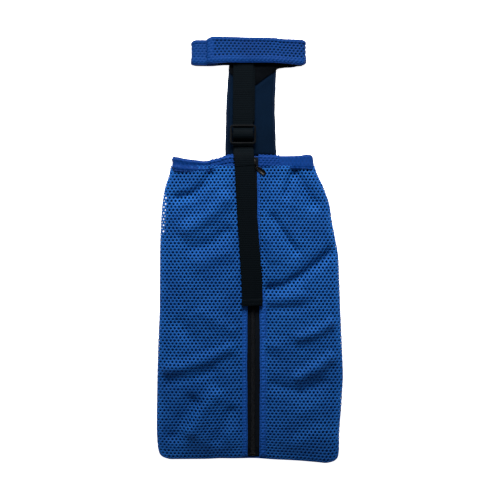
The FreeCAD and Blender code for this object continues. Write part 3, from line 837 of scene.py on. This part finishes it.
def rim_path():
    """The mouth's hem as (x, z, nx, nz, side), from the zipper's left edge round to its right edge."""
    path = []
    front_z = RIM_TOP - 1.1
    back_z = 1.3
    radius = (front_z - back_z) / 2
    for x in np.arange(ZIP_X - 7.2, RIM_LEFT + radius, -1.2):
        path.append((x, front_z, 0.0, 1.0, "left"))
    path += [(*point, "left")
             for point in bend_points(RIM_LEFT + radius, front_z - radius, radius, 90, 270)]
    for x in np.arange(RIM_LEFT + radius + 1.2, RIM_RIGHT - radius, 2.0):
        path.append((x, back_z, 0.0, -1.0, "back"))
    path += [(*point, "right")
             for point in bend_points(RIM_RIGHT - radius, front_z - radius, radius, 270, 450)]
    for x in np.arange(RIM_RIGHT - radius - 1.2, ZIP_X + 6.3, -1.2):
        path.append((x, front_z, 0.0, 1.0, "right"))
    return path


def rim_relief(x, y, low, high, where):
    """How far the rim's cloth stands off its middle: elastic ridges along it and gathers across it."""
    gather = 1.0 if where == "left" else 0.12
    t = (y - low) / (high - low)
    crown = np.sqrt(np.clip(1 - (2 * t - 1) ** 6, 0, 1))
    ridge = (1.0 if where == "left" else 0.1) * np.cos(2 * math.pi * 3.7 * t)
    ridge = ridge - 0.9 * np.exp(-((t - 0.11) / 0.05) ** 2)
    pleat = 0.32 * np.sin(x * 0.9 + 1.2 * np.sin(x * 0.23)) * (0.4 + 0.6 * gather)
    pleat = pleat + 0.22 * np.sin(x * 0.37 + y * 0.11)
    bunch = np.where((x > 48) & (x < 72), np.sin(math.pi * (x - 48) / 24), 0.0)
    pleat = pleat + 0.7 * bunch * np.sin((x - 48) * 0.95 + (y - 100) * 0.05)
    return crown * (1.15 + (ridge + pleat) * crown**3)


def make_rim():
    """One hem all round the mouth: gathered into ridges on the left, smoother on the right."""
    rings = []
    for x, z, nx, nz, side in rim_path():
        where = "left" if x < ZIP_X else "right"
        high = float(RIM_TOP_LINE[where](x))
        low = float(RIM_LOW_LINE[where](x))
        if side == "back":
            high -= 0.6
        ring = []
        for angle in around(30):
            flat = math.copysign(abs(math.cos(angle)) ** 0.55, math.cos(angle))
            y = (high + low) / 2 + (high - low) / 2 * flat
            reach = -0.9 * abs(math.sin(angle)) ** 0.5
            if math.sin(angle) >= 0:
                reach = float(rim_relief(x, y, low, high, where))
            spread_out = max(nx, 0.0) * 1.6 * (high - y) / (high - low)
            ring.append((x + nx * reach + spread_out, y, max(z + nz * reach, 0.05)))
        rings.append(ring)
    ends = ("left", "right", "back")
    add("rim_hem", tube(rings), RIM_FOLDED_SHADED, "bag",
        [f"rim_casing_{end}" for end in ends] + [f"rim_elastic_{end}" for end in ends])


def make_rim_mesh(where, first, last, stitched):
    """The holes that show in the hem's front, and the stitches along its lower edge."""

    def place(u, v):
        u = np.clip(u, first, last)
        low = RIM_LOW_LINE[where](u)
        high = RIM_TOP_LINE[where](u)
        y = low + (high - low) * ((v + 0.2) / (5.3 * ROW))
        z = RIM_TOP - 1.1 + rim_relief(u, y, low, high, where) + 0.16
        return np.stack([u, y, z], axis=1)

    def keep(u, v):
        return first < u < last and 0.0 < v / ROW < 5.6

    def hole_size(u, _):
        return 0.35 + 0.4 * ease((u + 46) / 14) * ease((36 - u) / 14)

    shape = perforated((int(first / PITCH) - 1, int(last / PITCH) + 2), (0, 6), keep, place, hole_size,
                       thick=0.5, dish=0.16)
    add(f"rim_mesh_{where}", shape, RIM_MESH_SHADED, "bag")
    path = [(x, RIM_LOW_LINE[where](x) + 1.4, RIM_TOP + 0.15) for x in np.arange(*stitched, 3.0)]
    add(f"rim_stitches_{where}", stitch_row(path, step=2.5), THREAD_BLUE, "bag")


# ---------------------------------------------------------------- zipper
def make_zipper():
    """Woven tapes, interlocked nylon coils, stops, and the slider with its link and pull."""
    zip_low = END_Y + 8.4
    zip_high = RIM_Y - 2.0
    ys = np.concatenate([np.arange(zip_low, zip_low + 24, 1.5), np.arange(zip_low + 24, zip_high, 5.0)])

    def level(y):
        drop = float(ease((y - zip_low - 3.0) / 9.0))
        return (TAPE_TOP - 0.35) * drop + 5.6 * (1 - drop)

    for side in ("left", "right"):
        turn = TURN[side]
        rings = []
        for y in ys:
            section = rounded_section(11.6, 0.7, corner=0.3, steps=2, fine=4)
            rings.append([(ZIP_X + turn * 6.7 + a, y, level(y) + b) for a, b in section])
        add(f"zip_tape_{side}_woven", tube(rings), TAPE, "bag", [f"zipper_tape_{side}"])
        parts = []
        shift = 0.0 if side == "left" else 0.62
        for y in np.arange(zip_low + 3.0, zip_high - 4.0, 1.25) + shift:
            base = level(y) + 0.75
            rings = []
            for k, size in enumerate((0.2, 0.33, 0.33, 0.33, 0.33, 0.33, 0.42, 0.42, 0.25)):
                rise = math.sin(math.pi * (k / 8))
                x = ZIP_X + turn * (3.0 - 3.4 * (k / 8))
                rings.append([(x, y + 0.1 * rise + size * c, base + 0.35 * rise + size * h)
                              for c, h in ROUND])
            parts.append(tube(rings))
        add(f"zip_coil_{side}_nylon", join_parts(parts), COIL, "bag", [f"zipper_coil_{side}"])
    parts = []
    for turn in (-1, 1):
        section = rounded_section(2.4, 2.2, corner=0.5, steps=3)
        y0 = RIM_Y - 3.8
        parts.append(tube([[(ZIP_X + turn * 1.75 + a * s, y, TAPE_TOP + 0.1 + b * s) for a, b in section]
                           for y, s in ((y0, 0.8), (y0 + 0.2, 1.0), (y0 + 1.4, 1.0), (y0 + 1.6, 0.8))]))
    add("zip_top_stop_pair", join_parts(parts), METAL, "bag", ["zipper_top_stops"])
    section = rounded_section(6.0, 2.2, corner=0.5, steps=3)
    y0 = zip_low + 0.6
    add("zip_bottom_stop_clamp",
        tube([[(ZIP_X + a * s, y, level(y) + 0.4 + b * s) for a, b in section]
              for y, s in ((y0, 0.8), (y0 + 0.3, 1.0), (y0 + 2.9, 1.0), (y0 + 3.2, 0.8))]),
        METAL, "bag", ["zipper_bottom_stop"])
    make_slider()


def make_slider():
    low, high = node_box("zipper_slider")
    top = high[2] - 1.7
    half = (high[0] - low[0]) / 2
    length = (high[1] - low[1]) / 2
    outline = []
    for angle in np.linspace(0, 2 * math.pi, 40, endpoint=False):
        c, s = math.cos(angle), math.sin(angle)
        shape = half * (0.72 + 0.28 * ease((s + 1) / 2))
        outline.append((ZIP_X + math.copysign(abs(c) ** 0.5, c) * shape,
                        SLIDER_Y + math.copysign(abs(s) ** 0.6, s) * length))
    web = [(ZIP_X + 0.28 * a, SLIDER_Y + 3.0 + 2.2 * b) for a, b in SQUARE]
    parts = [plate(outline, low[2], low[2] + 0.9), plate(outline, top - 0.8, top)]
    for turn in (-1, 1):
        lip = [(ZIP_X + turn * (half - 0.75) + 0.42 * a, SLIDER_Y + (length - 2.2) * b) for a, b in SQUARE]
        parts.append(plate(lip, top - 1.9, top - 0.5, 0.15))
        parts.append(plate(lip, low[2] + 0.5, low[2] + 1.15, 0.1))
    parts.append(plate(web, low[2] + 0.5, top - 0.4, 0.05))
    arch = []
    for angle in np.linspace(0, math.pi, 15):
        arch.append((ZIP_X, SLIDER_Y + (length - 1.9) * math.cos(angle),
                     top - 0.2 + 1.55 * math.sin(angle) ** 0.6))
    section = rounded_section(1.7, 0.6, corner=0.28, steps=3)
    rings = []
    for k, (x, y, z) in enumerate(arch):
        before = Vector(arch[max(0, k - 1)])
        after = Vector(arch[min(len(arch) - 1, k + 1)])
        along = (after - before).normalized()
        up = Vector((1, 0, 0)).cross(along)
        rings.append([tuple(Vector((x, y, z)) + Vector((a, 0, 0)) + up * b) for a, b in section])
    parts.append(tube(rings))
    add("zip_slider_body", join_parts(parts), METAL, "zip_slider", ["zipper_slider"])

    pivot = np.array(JOINTS["zip_pull_lift"]["pos_m"]) / MM
    direction = np.array((pivot[0] - ZIP_X, pivot[1] - (SLIDER_Y - 1.4), 0.0))
    direction /= np.linalg.norm(direction)
    across = np.array((-direction[1], direction[0], 0.0))
    start = np.array((ZIP_X + 0.2, SLIDER_Y - 0.1, pivot[2] - 0.15))
    middle = (start + pivot) / 2
    reach = float(np.linalg.norm((pivot - start)[:2])) / 2
    rings = []
    for angle in np.linspace(0, 2 * math.pi, 28, endpoint=False):
        c, s = math.cos(angle), math.sin(angle)
        centre = middle + direction * (reach * c) + across * (1.9 * s)
        outward = direction * c + across * s
        outward /= np.linalg.norm(outward)
        rings.append([centre + outward * (0.42 * math.cos(t)) + np.array((0, 0, 0.42 * math.sin(t)))
                      for t in np.linspace(0, 2 * math.pi, 7)[:-1]])
    add("zip_link_ring", tube(rings, closed=True), METAL, "zip_slider", ["zipper_link"])
    make_pull_blade(pivot)


def make_pull_blade(pivot):
    """The pull: a blade that widens from its eye, with a rim and a slot, lying at its angle."""
    turn = math.radians(-38.0)
    outline = []
    for t in np.linspace(0, 1, 9):
        outline.append((-1.0 + 4.6 * t, 1.5 + 1.6 * float(ease(t))))
    for angle in np.linspace(80, -80, 13):
        a = math.radians(angle)
        outline.append((10.0 + 3.3 * math.cos(a), 3.1 * math.sin(a)))
    outline += [(x, -y) for x, y in reversed(outline[:9])]
    outline = np.array(outline)
    profile = ((0.0, 0.35), (0.2, 0.05), (1.0, 0.05), (1.2, 0.35), (1.2, 1.1), (0.85, 1.45))
    blade = tube([[(x, y, z - 0.6) for x, y in shrunk(outline, np.array((6.0, 0.0)), inset)]
                  for z, inset in profile])
    eye = []
    for angle in np.linspace(0, 2 * math.pi, 20, endpoint=False):
        outward = np.array((math.cos(angle), math.sin(angle), 0.0))
        centre = np.array((0.6 + 1.25 * math.cos(angle), 1.25 * math.sin(angle), 0.0))
        eye.append([centre + outward * (0.5 * math.cos(t)) + np.array((0, 0, 0.62 * math.sin(t)))
                    for t in np.linspace(0, 2 * math.pi, 8)[:-1]])
    verts, faces = join_parts([blade, tube(eye, closed=True)])
    x, y, z = np.asarray(verts).T
    c, s = math.cos(turn), math.sin(turn)
    turned = np.stack([x * c - y * s, x * s + y * c, z], axis=1)
    add("zip_pull_blade", (turned + pivot, faces), METAL, "zip_pull", ["zipper_pull"])


# ---------------------------------------------------------------- chest panel
PANEL_SIDE = {
    "left": smooth_line([(118, -30.6), (150, -30.0), (175, -29.4), (210, -27.6), (232, -25.4)]),
    "right": smooth_line([(118, 33.8), (150, 32.6), (175, 31.9), (210, 33.0), (232, 33.8)]),
}


def panel_height(x, y, t):
    """The padded panel's upper face: soft, with a slanting crease near the collar."""
    crown = 2.5 + 1.0 * (1 - (2 * t - 1) ** 4)
    ax, ay, bx, by = 33, 227, 8, 209       # two points on the crease
    across = ((x - ax) * (by - ay) - (y - ay) * (bx - ax)) / math.hypot(bx - ax, by - ay)
    strong = ease((x + 4) / 20)
    crease = -0.9 * math.exp(-(across / 2.6) ** 2) * strong
    ridge = 0.7 * math.exp(-((across + 5.5) / 4.5) ** 2) * strong
    soft = 0.22 * math.sin(x / 9.0 + y / 21.0) * math.sin(y / 15.0)
    return crown + crease + ridge + soft


def make_chest():
    tucked = [PANEL_LOW_Y - 2.2, PANEL_LOW_Y - 1.0]
    ys = np.concatenate([tucked, np.linspace(PANEL_LOW_Y, PANEL_HIGH_Y + 3.0, 60)])
    across = np.linspace(0, 1, 30)
    ends = [float(ease((y - ys[0]) / 4.5)) * 0.75 + 0.25 for y in ys]
    top, bottom = [], []
    for y, end in zip(ys, ends):
        left = PANEL_SIDE["left"](y) + 1.4
        right = PANEL_SIDE["right"](y) - 1.4
        tuck = 1.0 - 0.35 * ease((y - PANEL_HIGH_Y + 4) / 6.0)
        for t in across:
            x = left + (right - left) * t
            edge = ease(min(t, 1 - t) / 0.06)
            top.append((x, y, panel_height(x, y, t) * end * tuck * (0.62 + 0.38 * edge)))
            bottom.append((x, y, 0.05 + 0.25 * (1 - edge)))
    faces = [face[:1] + face[:0:-1] for face in sheet_faces(len(ys), len(across))]
    fold = ("harness", "bag", (0, (PANEL_LOW_Y + 5.0) * MM, 0), (0, (PANEL_LOW_Y - 0.6) * MM, 0))
    panel = add("chest_panel_padded", (top + bottom, faces), NAVY, fold,
                ["chest_panel_outer", "chest_panel_padding", "chest_panel_lining", "chest_panel_fold"])
    for side in ("left", "right"):
        turn = TURN[side]
        rings = []
        for y, end in zip(ys, ends):
            x = PANEL_SIDE[side](y) - turn * 1.9
            section = rounded_section(3.8, 3.3 * end, corner=1.5 * end, steps=4)
            wobble = 0.12 * math.sin(y / 3.1) + 0.1 * math.sin(y / 7.7)
            rings.append([(x + a + wobble, y, 0.07 + 1.65 * end + b) for a, b in section])
        add(f"chest_edge_{side}", tube(rings), NAVY_BINDING_LIGHTER, fold, [f"chest_binding_{side}"])
        path = [(PANEL_SIDE[side](y) - turn * 2.9, y, 3.3) for y in ys[6:-1]]
        add(f"chest_stitches_{side}", stitch_row(path, step=2.6), THREAD_DARK, fold)


# ---------------------------------------------------------------- collar
def collar_path(kind):
    """Middle line of the collar's front or back run as (x, z) points, from under the right half onwards."""
    middle = COLLAR_TALL / 2
    radius = middle - COLLAR_REST
    high = COLLAR_TALL - COLLAR_REST
    right = COLLAR_RIGHT - middle
    left = COLLAR_LEFT + middle
    if kind == "front":
        rise = TAB_TOP - 0.9 - high
        turn = [point[:2] for point in bend_points(right, middle, radius, -90, 90)]
        return [(58.0, COLLAR_REST), *turn, (50, high + 0.2), (30, high + 0.6), (10, high + 0.8),
                (-8, high + 0.5), (TAB_RIGHT + 6, high + rise * 0.8), (TAB_RIGHT - 4, high + rise),
                (TAB_LEFT + 8, high + rise + 0.2), (TAB_LEFT, high + rise - 0.5)]
    turn = [point[:2] for point in bend_points(left, middle, radius, 270, 90)]
    return [(58.0, COLLAR_REST), (20, COLLAR_REST), (-30, COLLAR_REST), *turn, (left + 10, high),
            (FLAP_END, high)]


# lower and upper edge of each run of the band, as y for each x
COLLAR_EDGES = {
    "front": (
        smooth_line([(-53, 231.6), (-40, 232.4), (-24, 233.4), (26, 233.4), (50, 231.8), (64, 230.6),
                     (70, 232.6)]),
        smooth_line([(-53.5, 262.0), (-50, 264.4), (-46, 265.8), (-10, 265.2), (33, 264.3), (37, 263.4),
                     (66, 262.0), (70, 260.0)]),
    ),
    "back": (
        smooth_line([(-72.5, 231.4), (-66, 230.4), (-50, 230.2), (-30, 231.4), (20, 230.4), (34, 228.2),
                     (50, 228.4), (60, 229.6)]),
        smooth_line([(-72.5, 258.6), (-70, 260.8), (-66, 261.8), (-54, 261.8), (-20, 262.6), (60, 261.0)]),
    ),
}


def make_collar_run(kind, bend, nodes):
    """The band's front or back run: its mesh, folded borders, lining and rows of stitches."""
    line, along = resample(collar_path(kind), 0.6)
    low_edge, high_edge = COLLAR_EDGES[kind]
    total = float(along[-1])
    turn = 1.0 if kind == "front" else -1.0

    def frame_at(u):
        """At u along the band: x and z of its middle, its outward direction, and its two edges."""
        u = np.clip(u, 0, total)
        x = np.interp(u, along, line[:, 0])
        z = np.maximum(np.interp(u, along, line[:, 1]), COLLAR_REST)
        after, before = np.clip(u + 0.3, 0, total), np.clip(u - 0.3, 0, total)
        tx, tz = (np.interp(after, along, part) - np.interp(before, along, part) for part in line.T)
        size = np.hypot(tx, tz)
        return x, z, turn * tz / size, turn * -tx / size, low_edge(x), high_edge(x)

    def place(u, v):
        x, z, nx, nz, low, high = frame_at(u)
        y = low + (high - low) * np.clip(v, 0.25, COLLAR_FLAT - 0.25) / COLLAR_FLAT
        wave = 0.25 * np.sin(u / 11.0) * np.sin(v / 9.0)
        border = 0.75 * (1 - ease((v - 9.5) / 1.5) * ease((32.5 - v) / 1.5))
        border = np.maximum(border, 0.75 * ease((u - total + 8.5) / 1.5))
        edge = 0.6 * (1 - ease(v / 1.2) * ease((COLLAR_FLAT - v) / 1.2))
        under = ease(-nz)
        lift = (0.35 + wave + border - edge) * (1 - under) + 0.25 * under
        return np.stack([x + nx * lift, y, z + nz * lift], axis=1)

    def keep(u, v):
        return 1.5 < u < total - 0.5 and 0.0 < v < COLLAR_FLAT

    def hole_size(u, v):
        if kind == "back":
            return 0.28
        return 0.42 + 0.4 * (ease((v - 8.0) / 3.0) * ease((34.0 - v) / 3.0) * ease((total - 7.0 - u) / 2.0))

    shape = perforated((0, int(total / PITCH) + 2), (0, 11), keep, place, hole_size, thick=0.6,
                       mirrored=kind == "front")
    add(f"collar_{kind}_mesh", shape, MESH_COLLAR_SHADED, bend, nodes)

    def strip(name, v_low, v_high, offset, thick, material, first=0.0, stands_for=()):
        """A layer along the whole run, between two places across its flat width."""
        rings = []
        for u in np.arange(first, total + 0.01, 1.0):
            x, z, nx, nz, low, high = frame_at(u)
            a = low + (high - low) * v_low / COLLAR_FLAT
            b = low + (high - low) * v_high / COLLAR_FLAT
            section = rounded_section(b - a, thick, corner=thick * 0.45, steps=3, fine=5)
            rings.append([(x + nx * (offset + q), (a + b) / 2 + p, z + nz * (offset + q))
                          for p, q in section])
        add(f"collar_{kind}_{name}", tube(rings), material, bend, stands_for)

    strip("low_border", 0.0, 10.2, 0.3, 1.25, COLLAR_FOLDED_SHADED)
    strip("high_border", 31.0, COLLAR_FLAT, 0.3, 1.25, COLLAR_FOLDED_SHADED)
    strip("end_border", 0.0, COLLAR_FLAT, 0.3, 1.25, COLLAR_FOLDED_SHADED, first=total - 8.0)
    strip("lining", 0.8, 35.2, -0.45, 0.7, NAVY, stands_for=["collar_lining"] if kind == "front" else ())
    for v in (1.6, 9.0, 32.0, 34.8):
        path = []
        for u in np.arange(2.0, total - 2.0, 2.0):
            x, z, nx, nz, low, high = frame_at(u)
            if nz > 0.9:
                path.append((x + nx * 0.95, low + (high - low) * v / COLLAR_FLAT, z + nz * 0.95))
        add(f"collar_{kind}_stitches_{int(v)}", stitch_row(path, step=2.6), THREAD_BLUE, bend)


def make_collar():
    tab_bend = ("harness", "collar_tab", ((TAB_RIGHT + 5.5) * MM, 0, 0), ((TAB_RIGHT - 0.5) * MM, 0, 0))
    flap_bend = ("harness", "collar_under_flap", (0, 0, 2.6 * MM), (0, 0, (COLLAR_TALL - 2.4) * MM))
    make_collar_run("front", tab_bend, ["collar_band", "collar_tab", "collar_tab_fold"])
    make_collar_run("back", flap_bend, ["collar_left_fold", "collar_under_flap"])
    hook_level = spread("collar_hook_patch", 2)[0] + 0.1
    for node, body, level, thick in (("collar_hook_patch", "collar_tab", hook_level, 0.8),
                                     ("collar_loop_patch", "collar_under_flap", COLLAR_TALL - 0.35, 0.7)):
        a, b = node_box(node)
        outline = [(a[0], a[1]), (b[0], a[1]), (b[0], b[1]), (a[0], b[1])]
        add(node + "_pile", plate(outline, level, level + thick, 0.15), PILE, body, [node], smooth=False)


# ---------------------------------------------------------------- strap, buckle and adjuster loop
def cross_stitches(name, x, y, z, body):
    """A row of stitches across a strap whose middle is at x."""
    path = [(x + a, y, z) for a in np.arange(-11, 11.5, 1.6)]
    add(name, stitch_row(path, step=2.1, length=1.6), THREAD_DARK, body)


def make_strap():
    glide_y = float((GLIDE_LOW[1] + GLIDE_HIGH[1]) / 2)
    at_rim = ("harness", "bag", (0, (RIM_Y + 10.0) * MM, 0), (0, (RIM_Y - 4.0) * MM, 0))
    # the strap's middle line: how far right of STRAP_X, then y and z
    upper = [
        (0.6, COLLAR_HIGH_Y - 6.0, 8.1), (0.6, COLLAR_LOW_Y + 8.0, 8.1), (0.3, 222, 7.9), (0, 200, 7.7),
        (0, 180, 7.7), (0, 166, 7.8), (0, glide_y + 12.5, 7.9), (0, glide_y + 8.8, 8.3),
        (0, glide_y + 5.6, 11.4), (0, glide_y + 2.8, 12.7), (0, glide_y - 2.8, 12.7),
        (0, glide_y - 5.4, 10.8), (0, glide_y - 8.2, 6.6), (0.1, glide_y - 12.6, 5.6),
        (0.5, RIM_Y + 8.0, 6.6), (1.0, RIM_Y + 1.5, 11.2), (1.5, RIM_Y - 4.5, 12.6),
        (1.9, TAIL_START + 1.5, 12.75), (2.2, TAIL_START - 2.0, 12.75),
    ]
    upper = [(STRAP_X + across, y, z) for across, y, z in upper]
    add("back_strap_webbing", ribbon(upper, STRAP_WIDE, STRAP_THICK, ribs=0.03), WEBBING, at_rim,
        ["back_strap", "strap_buckle_run", "strap_bridge"])
    level = (TAIL_LOW + TAIL_HIGH) / 2
    tail = [
        (STRAP_X + 1.9, TAIL_START + 1.5, level), (STRAP_X + 2.6, 90, level), (-4.1, 66, level),
        (-3.1, 47, level - 0.1), (-1.7, 25, level - 0.1), (-0.2, 4, level), (1.3, -18, level),
        (2.4, -35, level), (3.3, -52, level), (3.4, TAIL_END - 1.4, level + 0.4),
    ]
    tail_bend = ("bag", "strap_tail", (0, (TAIL_START + 1.0) * MM, 0), (0, (TAIL_START - 7.0) * MM, 0))
    add("strap_tail_webbing", ribbon(tail, STRAP_WIDE - 0.4, STRAP_THICK, ribs=0.03, flare=1.4), WEBBING,
        tail_bend, ["strap_tail"])
    hem = [(3.0, TAIL_END + 7.0, level + 1.35), (3.2, TAIL_END + 3.0, level + 1.5),
           (3.4, TAIL_END - 1.4, level + 1.5)]
    add("strap_tail_fold", ribbon(hem, STRAP_WIDE + 0.8, STRAP_THICK - 0.2), WEBBING, tail_bend,
        ["strap_tail_hem"])
    for number, y in enumerate((TAIL_END + 0.8, TAIL_END + 5.2)):
        cross_stitches(f"strap_hem_stitches_{number}", 3.2, y, level + 2.2, tail_bend)
    loop = [
        (108, 10.2), (RIM_Y - 3, 10.2), (RIM_Y + 0.6, 9.7), (RIM_Y + 5.6, 6.6), (RIM_Y + 9.4, 4.0),
        (glide_y - 6, 4.1), (glide_y + 0.6, 7.3), (glide_y + 2.2, 9.2), (glide_y + 0.4, 11.1),
        (glide_y - 2.0, 10.7),
    ]
    loop = [(-11.9, y, z) for y, z in loop]
    add("adjuster_loop_webbing", ribbon(loop, 17.0, 0.95, step=1.0), WEBBING, at_rim, ["adjuster_loop"])


def make_shadow_plate_and_strap_layer():
    """A black plate painted as the shadow that slants from under the collar down to the strap, and the
    strap's doubled layer.
    """
    # painted shadow: the plate's outline follows the shade's outline on the chest panel
    outline = [(-25.0, 236.0), (64.0, 236.0), (66.0, 230.0), (50.0, 228.6), (36.0, 226.6), (22.0, 217.0),
               (9.0, 207.2), (4.0, 205.0), (-4.0, 206.0), (-25.0, 222.0)]
    add("collar_shadow_plate", plate(outline, 4.3, 5.0, 0.2), SHADOW_PLATE_BLACK, "harness")
    under = [(STRAP_X + 1.2, COLLAR_LOW_Y + 6.0, 6.35), (STRAP_X + 1.3, 210, 6.2),
             (STRAP_X + 1.1, 180, 6.1), (STRAP_X + 0.8, GLIDE_HIGH[1] + 4.0, 6.1)]
    add("back_strap_lower_layer", ribbon(under, STRAP_WIDE + 2.4, 1.3, ribs=0.03), WEBBING, "harness")
    for number, y in enumerate((172.5, 194.5, 197.5, 200.5)):
        cross_stitches(f"back_strap_stitches_{number}", STRAP_X, y, 8.52, "harness")


def make_glide():
    """The tri-glide: a rounded frame and its middle bar, moulded in one."""
    low, high = GLIDE_LOW, GLIDE_HIGH
    x, y, z = (low + high) / 2
    bar = 2.6
    half_x = (high[0] - low[0]) / 2 - bar / 2
    half_y = (high[1] - low[1]) / 2 - bar / 2
    path = rounded_section(2 * half_x, 2 * half_y, corner=2.6, steps=6)
    section = rounded_section(bar, high[2] - low[2], corner=0.85, steps=4)
    rings = []
    for k, (px, py) in enumerate(path):
        direction = path[(k + 1) % len(path)] - path[k - 1]
        dx, dy = direction / np.linalg.norm(direction)
        rings.append([(x + px + dy * a, y + py + -dx * a, z + b) for a, b in section])
    middle = rounded_section(2.4, 1.4, corner=0.6, steps=4)
    crossbar = tube([[(x + at, y + a, low[2] + 0.7 + b) for a, b in middle]
                     for at in (-half_x, -half_x / 2, 0, half_x / 2, half_x)])
    add("tri_glide_moulded", join_parts([tube(rings, closed=True), crossbar]), BUCKLE, "tri_glide",
        ["tri_glide"])


def declare_sheets():
    width = float(SIDE["right"](-120.0)) - float(SIDE["left"](-120.0))


# ---------------------------------------------------------------- stage, light and camera
def make_stage():
    bpy.ops.mesh.primitive_plane_add(size=40.0, location=(0, 0, -0.0002))
    floor = bpy.context.object
    floor.name = "floor"
    s = Shader("pale_floor", 0.8)
    s.shader.inputs["Base Color"].default_value = (0.95, 0.95, 0.95, 1)
    s.shader.inputs["Emission Color"].default_value = (1, 1, 1, 1)
    s.shader.inputs["Emission Strength"].default_value = 0.9
    floor.data.materials.append(s.material)


def add_light(name, place, target, size, power):
    data = bpy.data.lights.new(name, "AREA")
    data.size = size
    data.energy = power
    light = bpy.data.objects.new(name, data)
    light.location = place
    light.rotation_euler = (Vector(target) - Vector(place)).to_track_quat("-Z", "Y").to_euler()
    bpy.context.scene.collection.objects.link(light)
    return light


def make_light_and_camera():
    world = bpy.data.worlds.new("studio")
    bpy.context.scene.world = world
    world.use_nodes = True
    tree = world.node_tree
    where = tree.nodes.new("ShaderNodeTexCoord")
    parts = tree.nodes.new("ShaderNodeSeparateXYZ")
    tree.links.new(where.outputs["Generated"], parts.inputs[0])
    level = tree.nodes.new("ShaderNodeMapRange")
    tree.links.new(parts.outputs["Z"], level.inputs["Value"])
    for key, value in (("From Min", 0.13), ("From Max", 0.19), ("To Min", 1.02), ("To Max", 0.22)):
        level.inputs[key].default_value = value
    tree.links.new(level.outputs[0], tree.nodes["Background"].inputs["Strength"])
    tree.nodes["Background"].inputs["Color"].default_value = (1, 1, 1, 1)
    add_light("soft_key", (0.0, 0.76, 0.55), (0, -0.05, 0), 0.42, 20.8)
    camera_data = bpy.data.cameras.new("camera")
    camera_data.lens = 100.0
    camera_data.sensor_width = 36.0
    field = 0.625          # metres across the picture, at the object
    camera = bpy.data.objects.new("camera", camera_data)
    camera.location = (0.0006, -0.0006, field * camera_data.lens / camera_data.sensor_width + 0.009)
    bpy.context.scene.collection.objects.link(camera)
    bpy.context.scene.camera = camera
    bpy.context.scene.view_settings.view_transform = "Standard"


make_light_and_camera()
make_stage()
make_back()
for half in ("left", "right"):
    make_front_half(half)
make_zip_hem("left", 6.7, 13.0)
make_zip_hem("right", 8.6, 17.2)
make_rim()
make_rim_mesh("left", -50.0, ZIP_X - 8, (RIM_LEFT + 4.5, ZIP_X - 8))
make_rim_mesh("right", ZIP_X + 7.1, 38.0, (ZIP_X + 7.1 + 2, RIM_RIGHT - 2.5))
make_zipper()
make_chest()
make_collar()
make_strap()
make_glide()
make_shadow_plate_and_strap_layer()
declare_sheets()
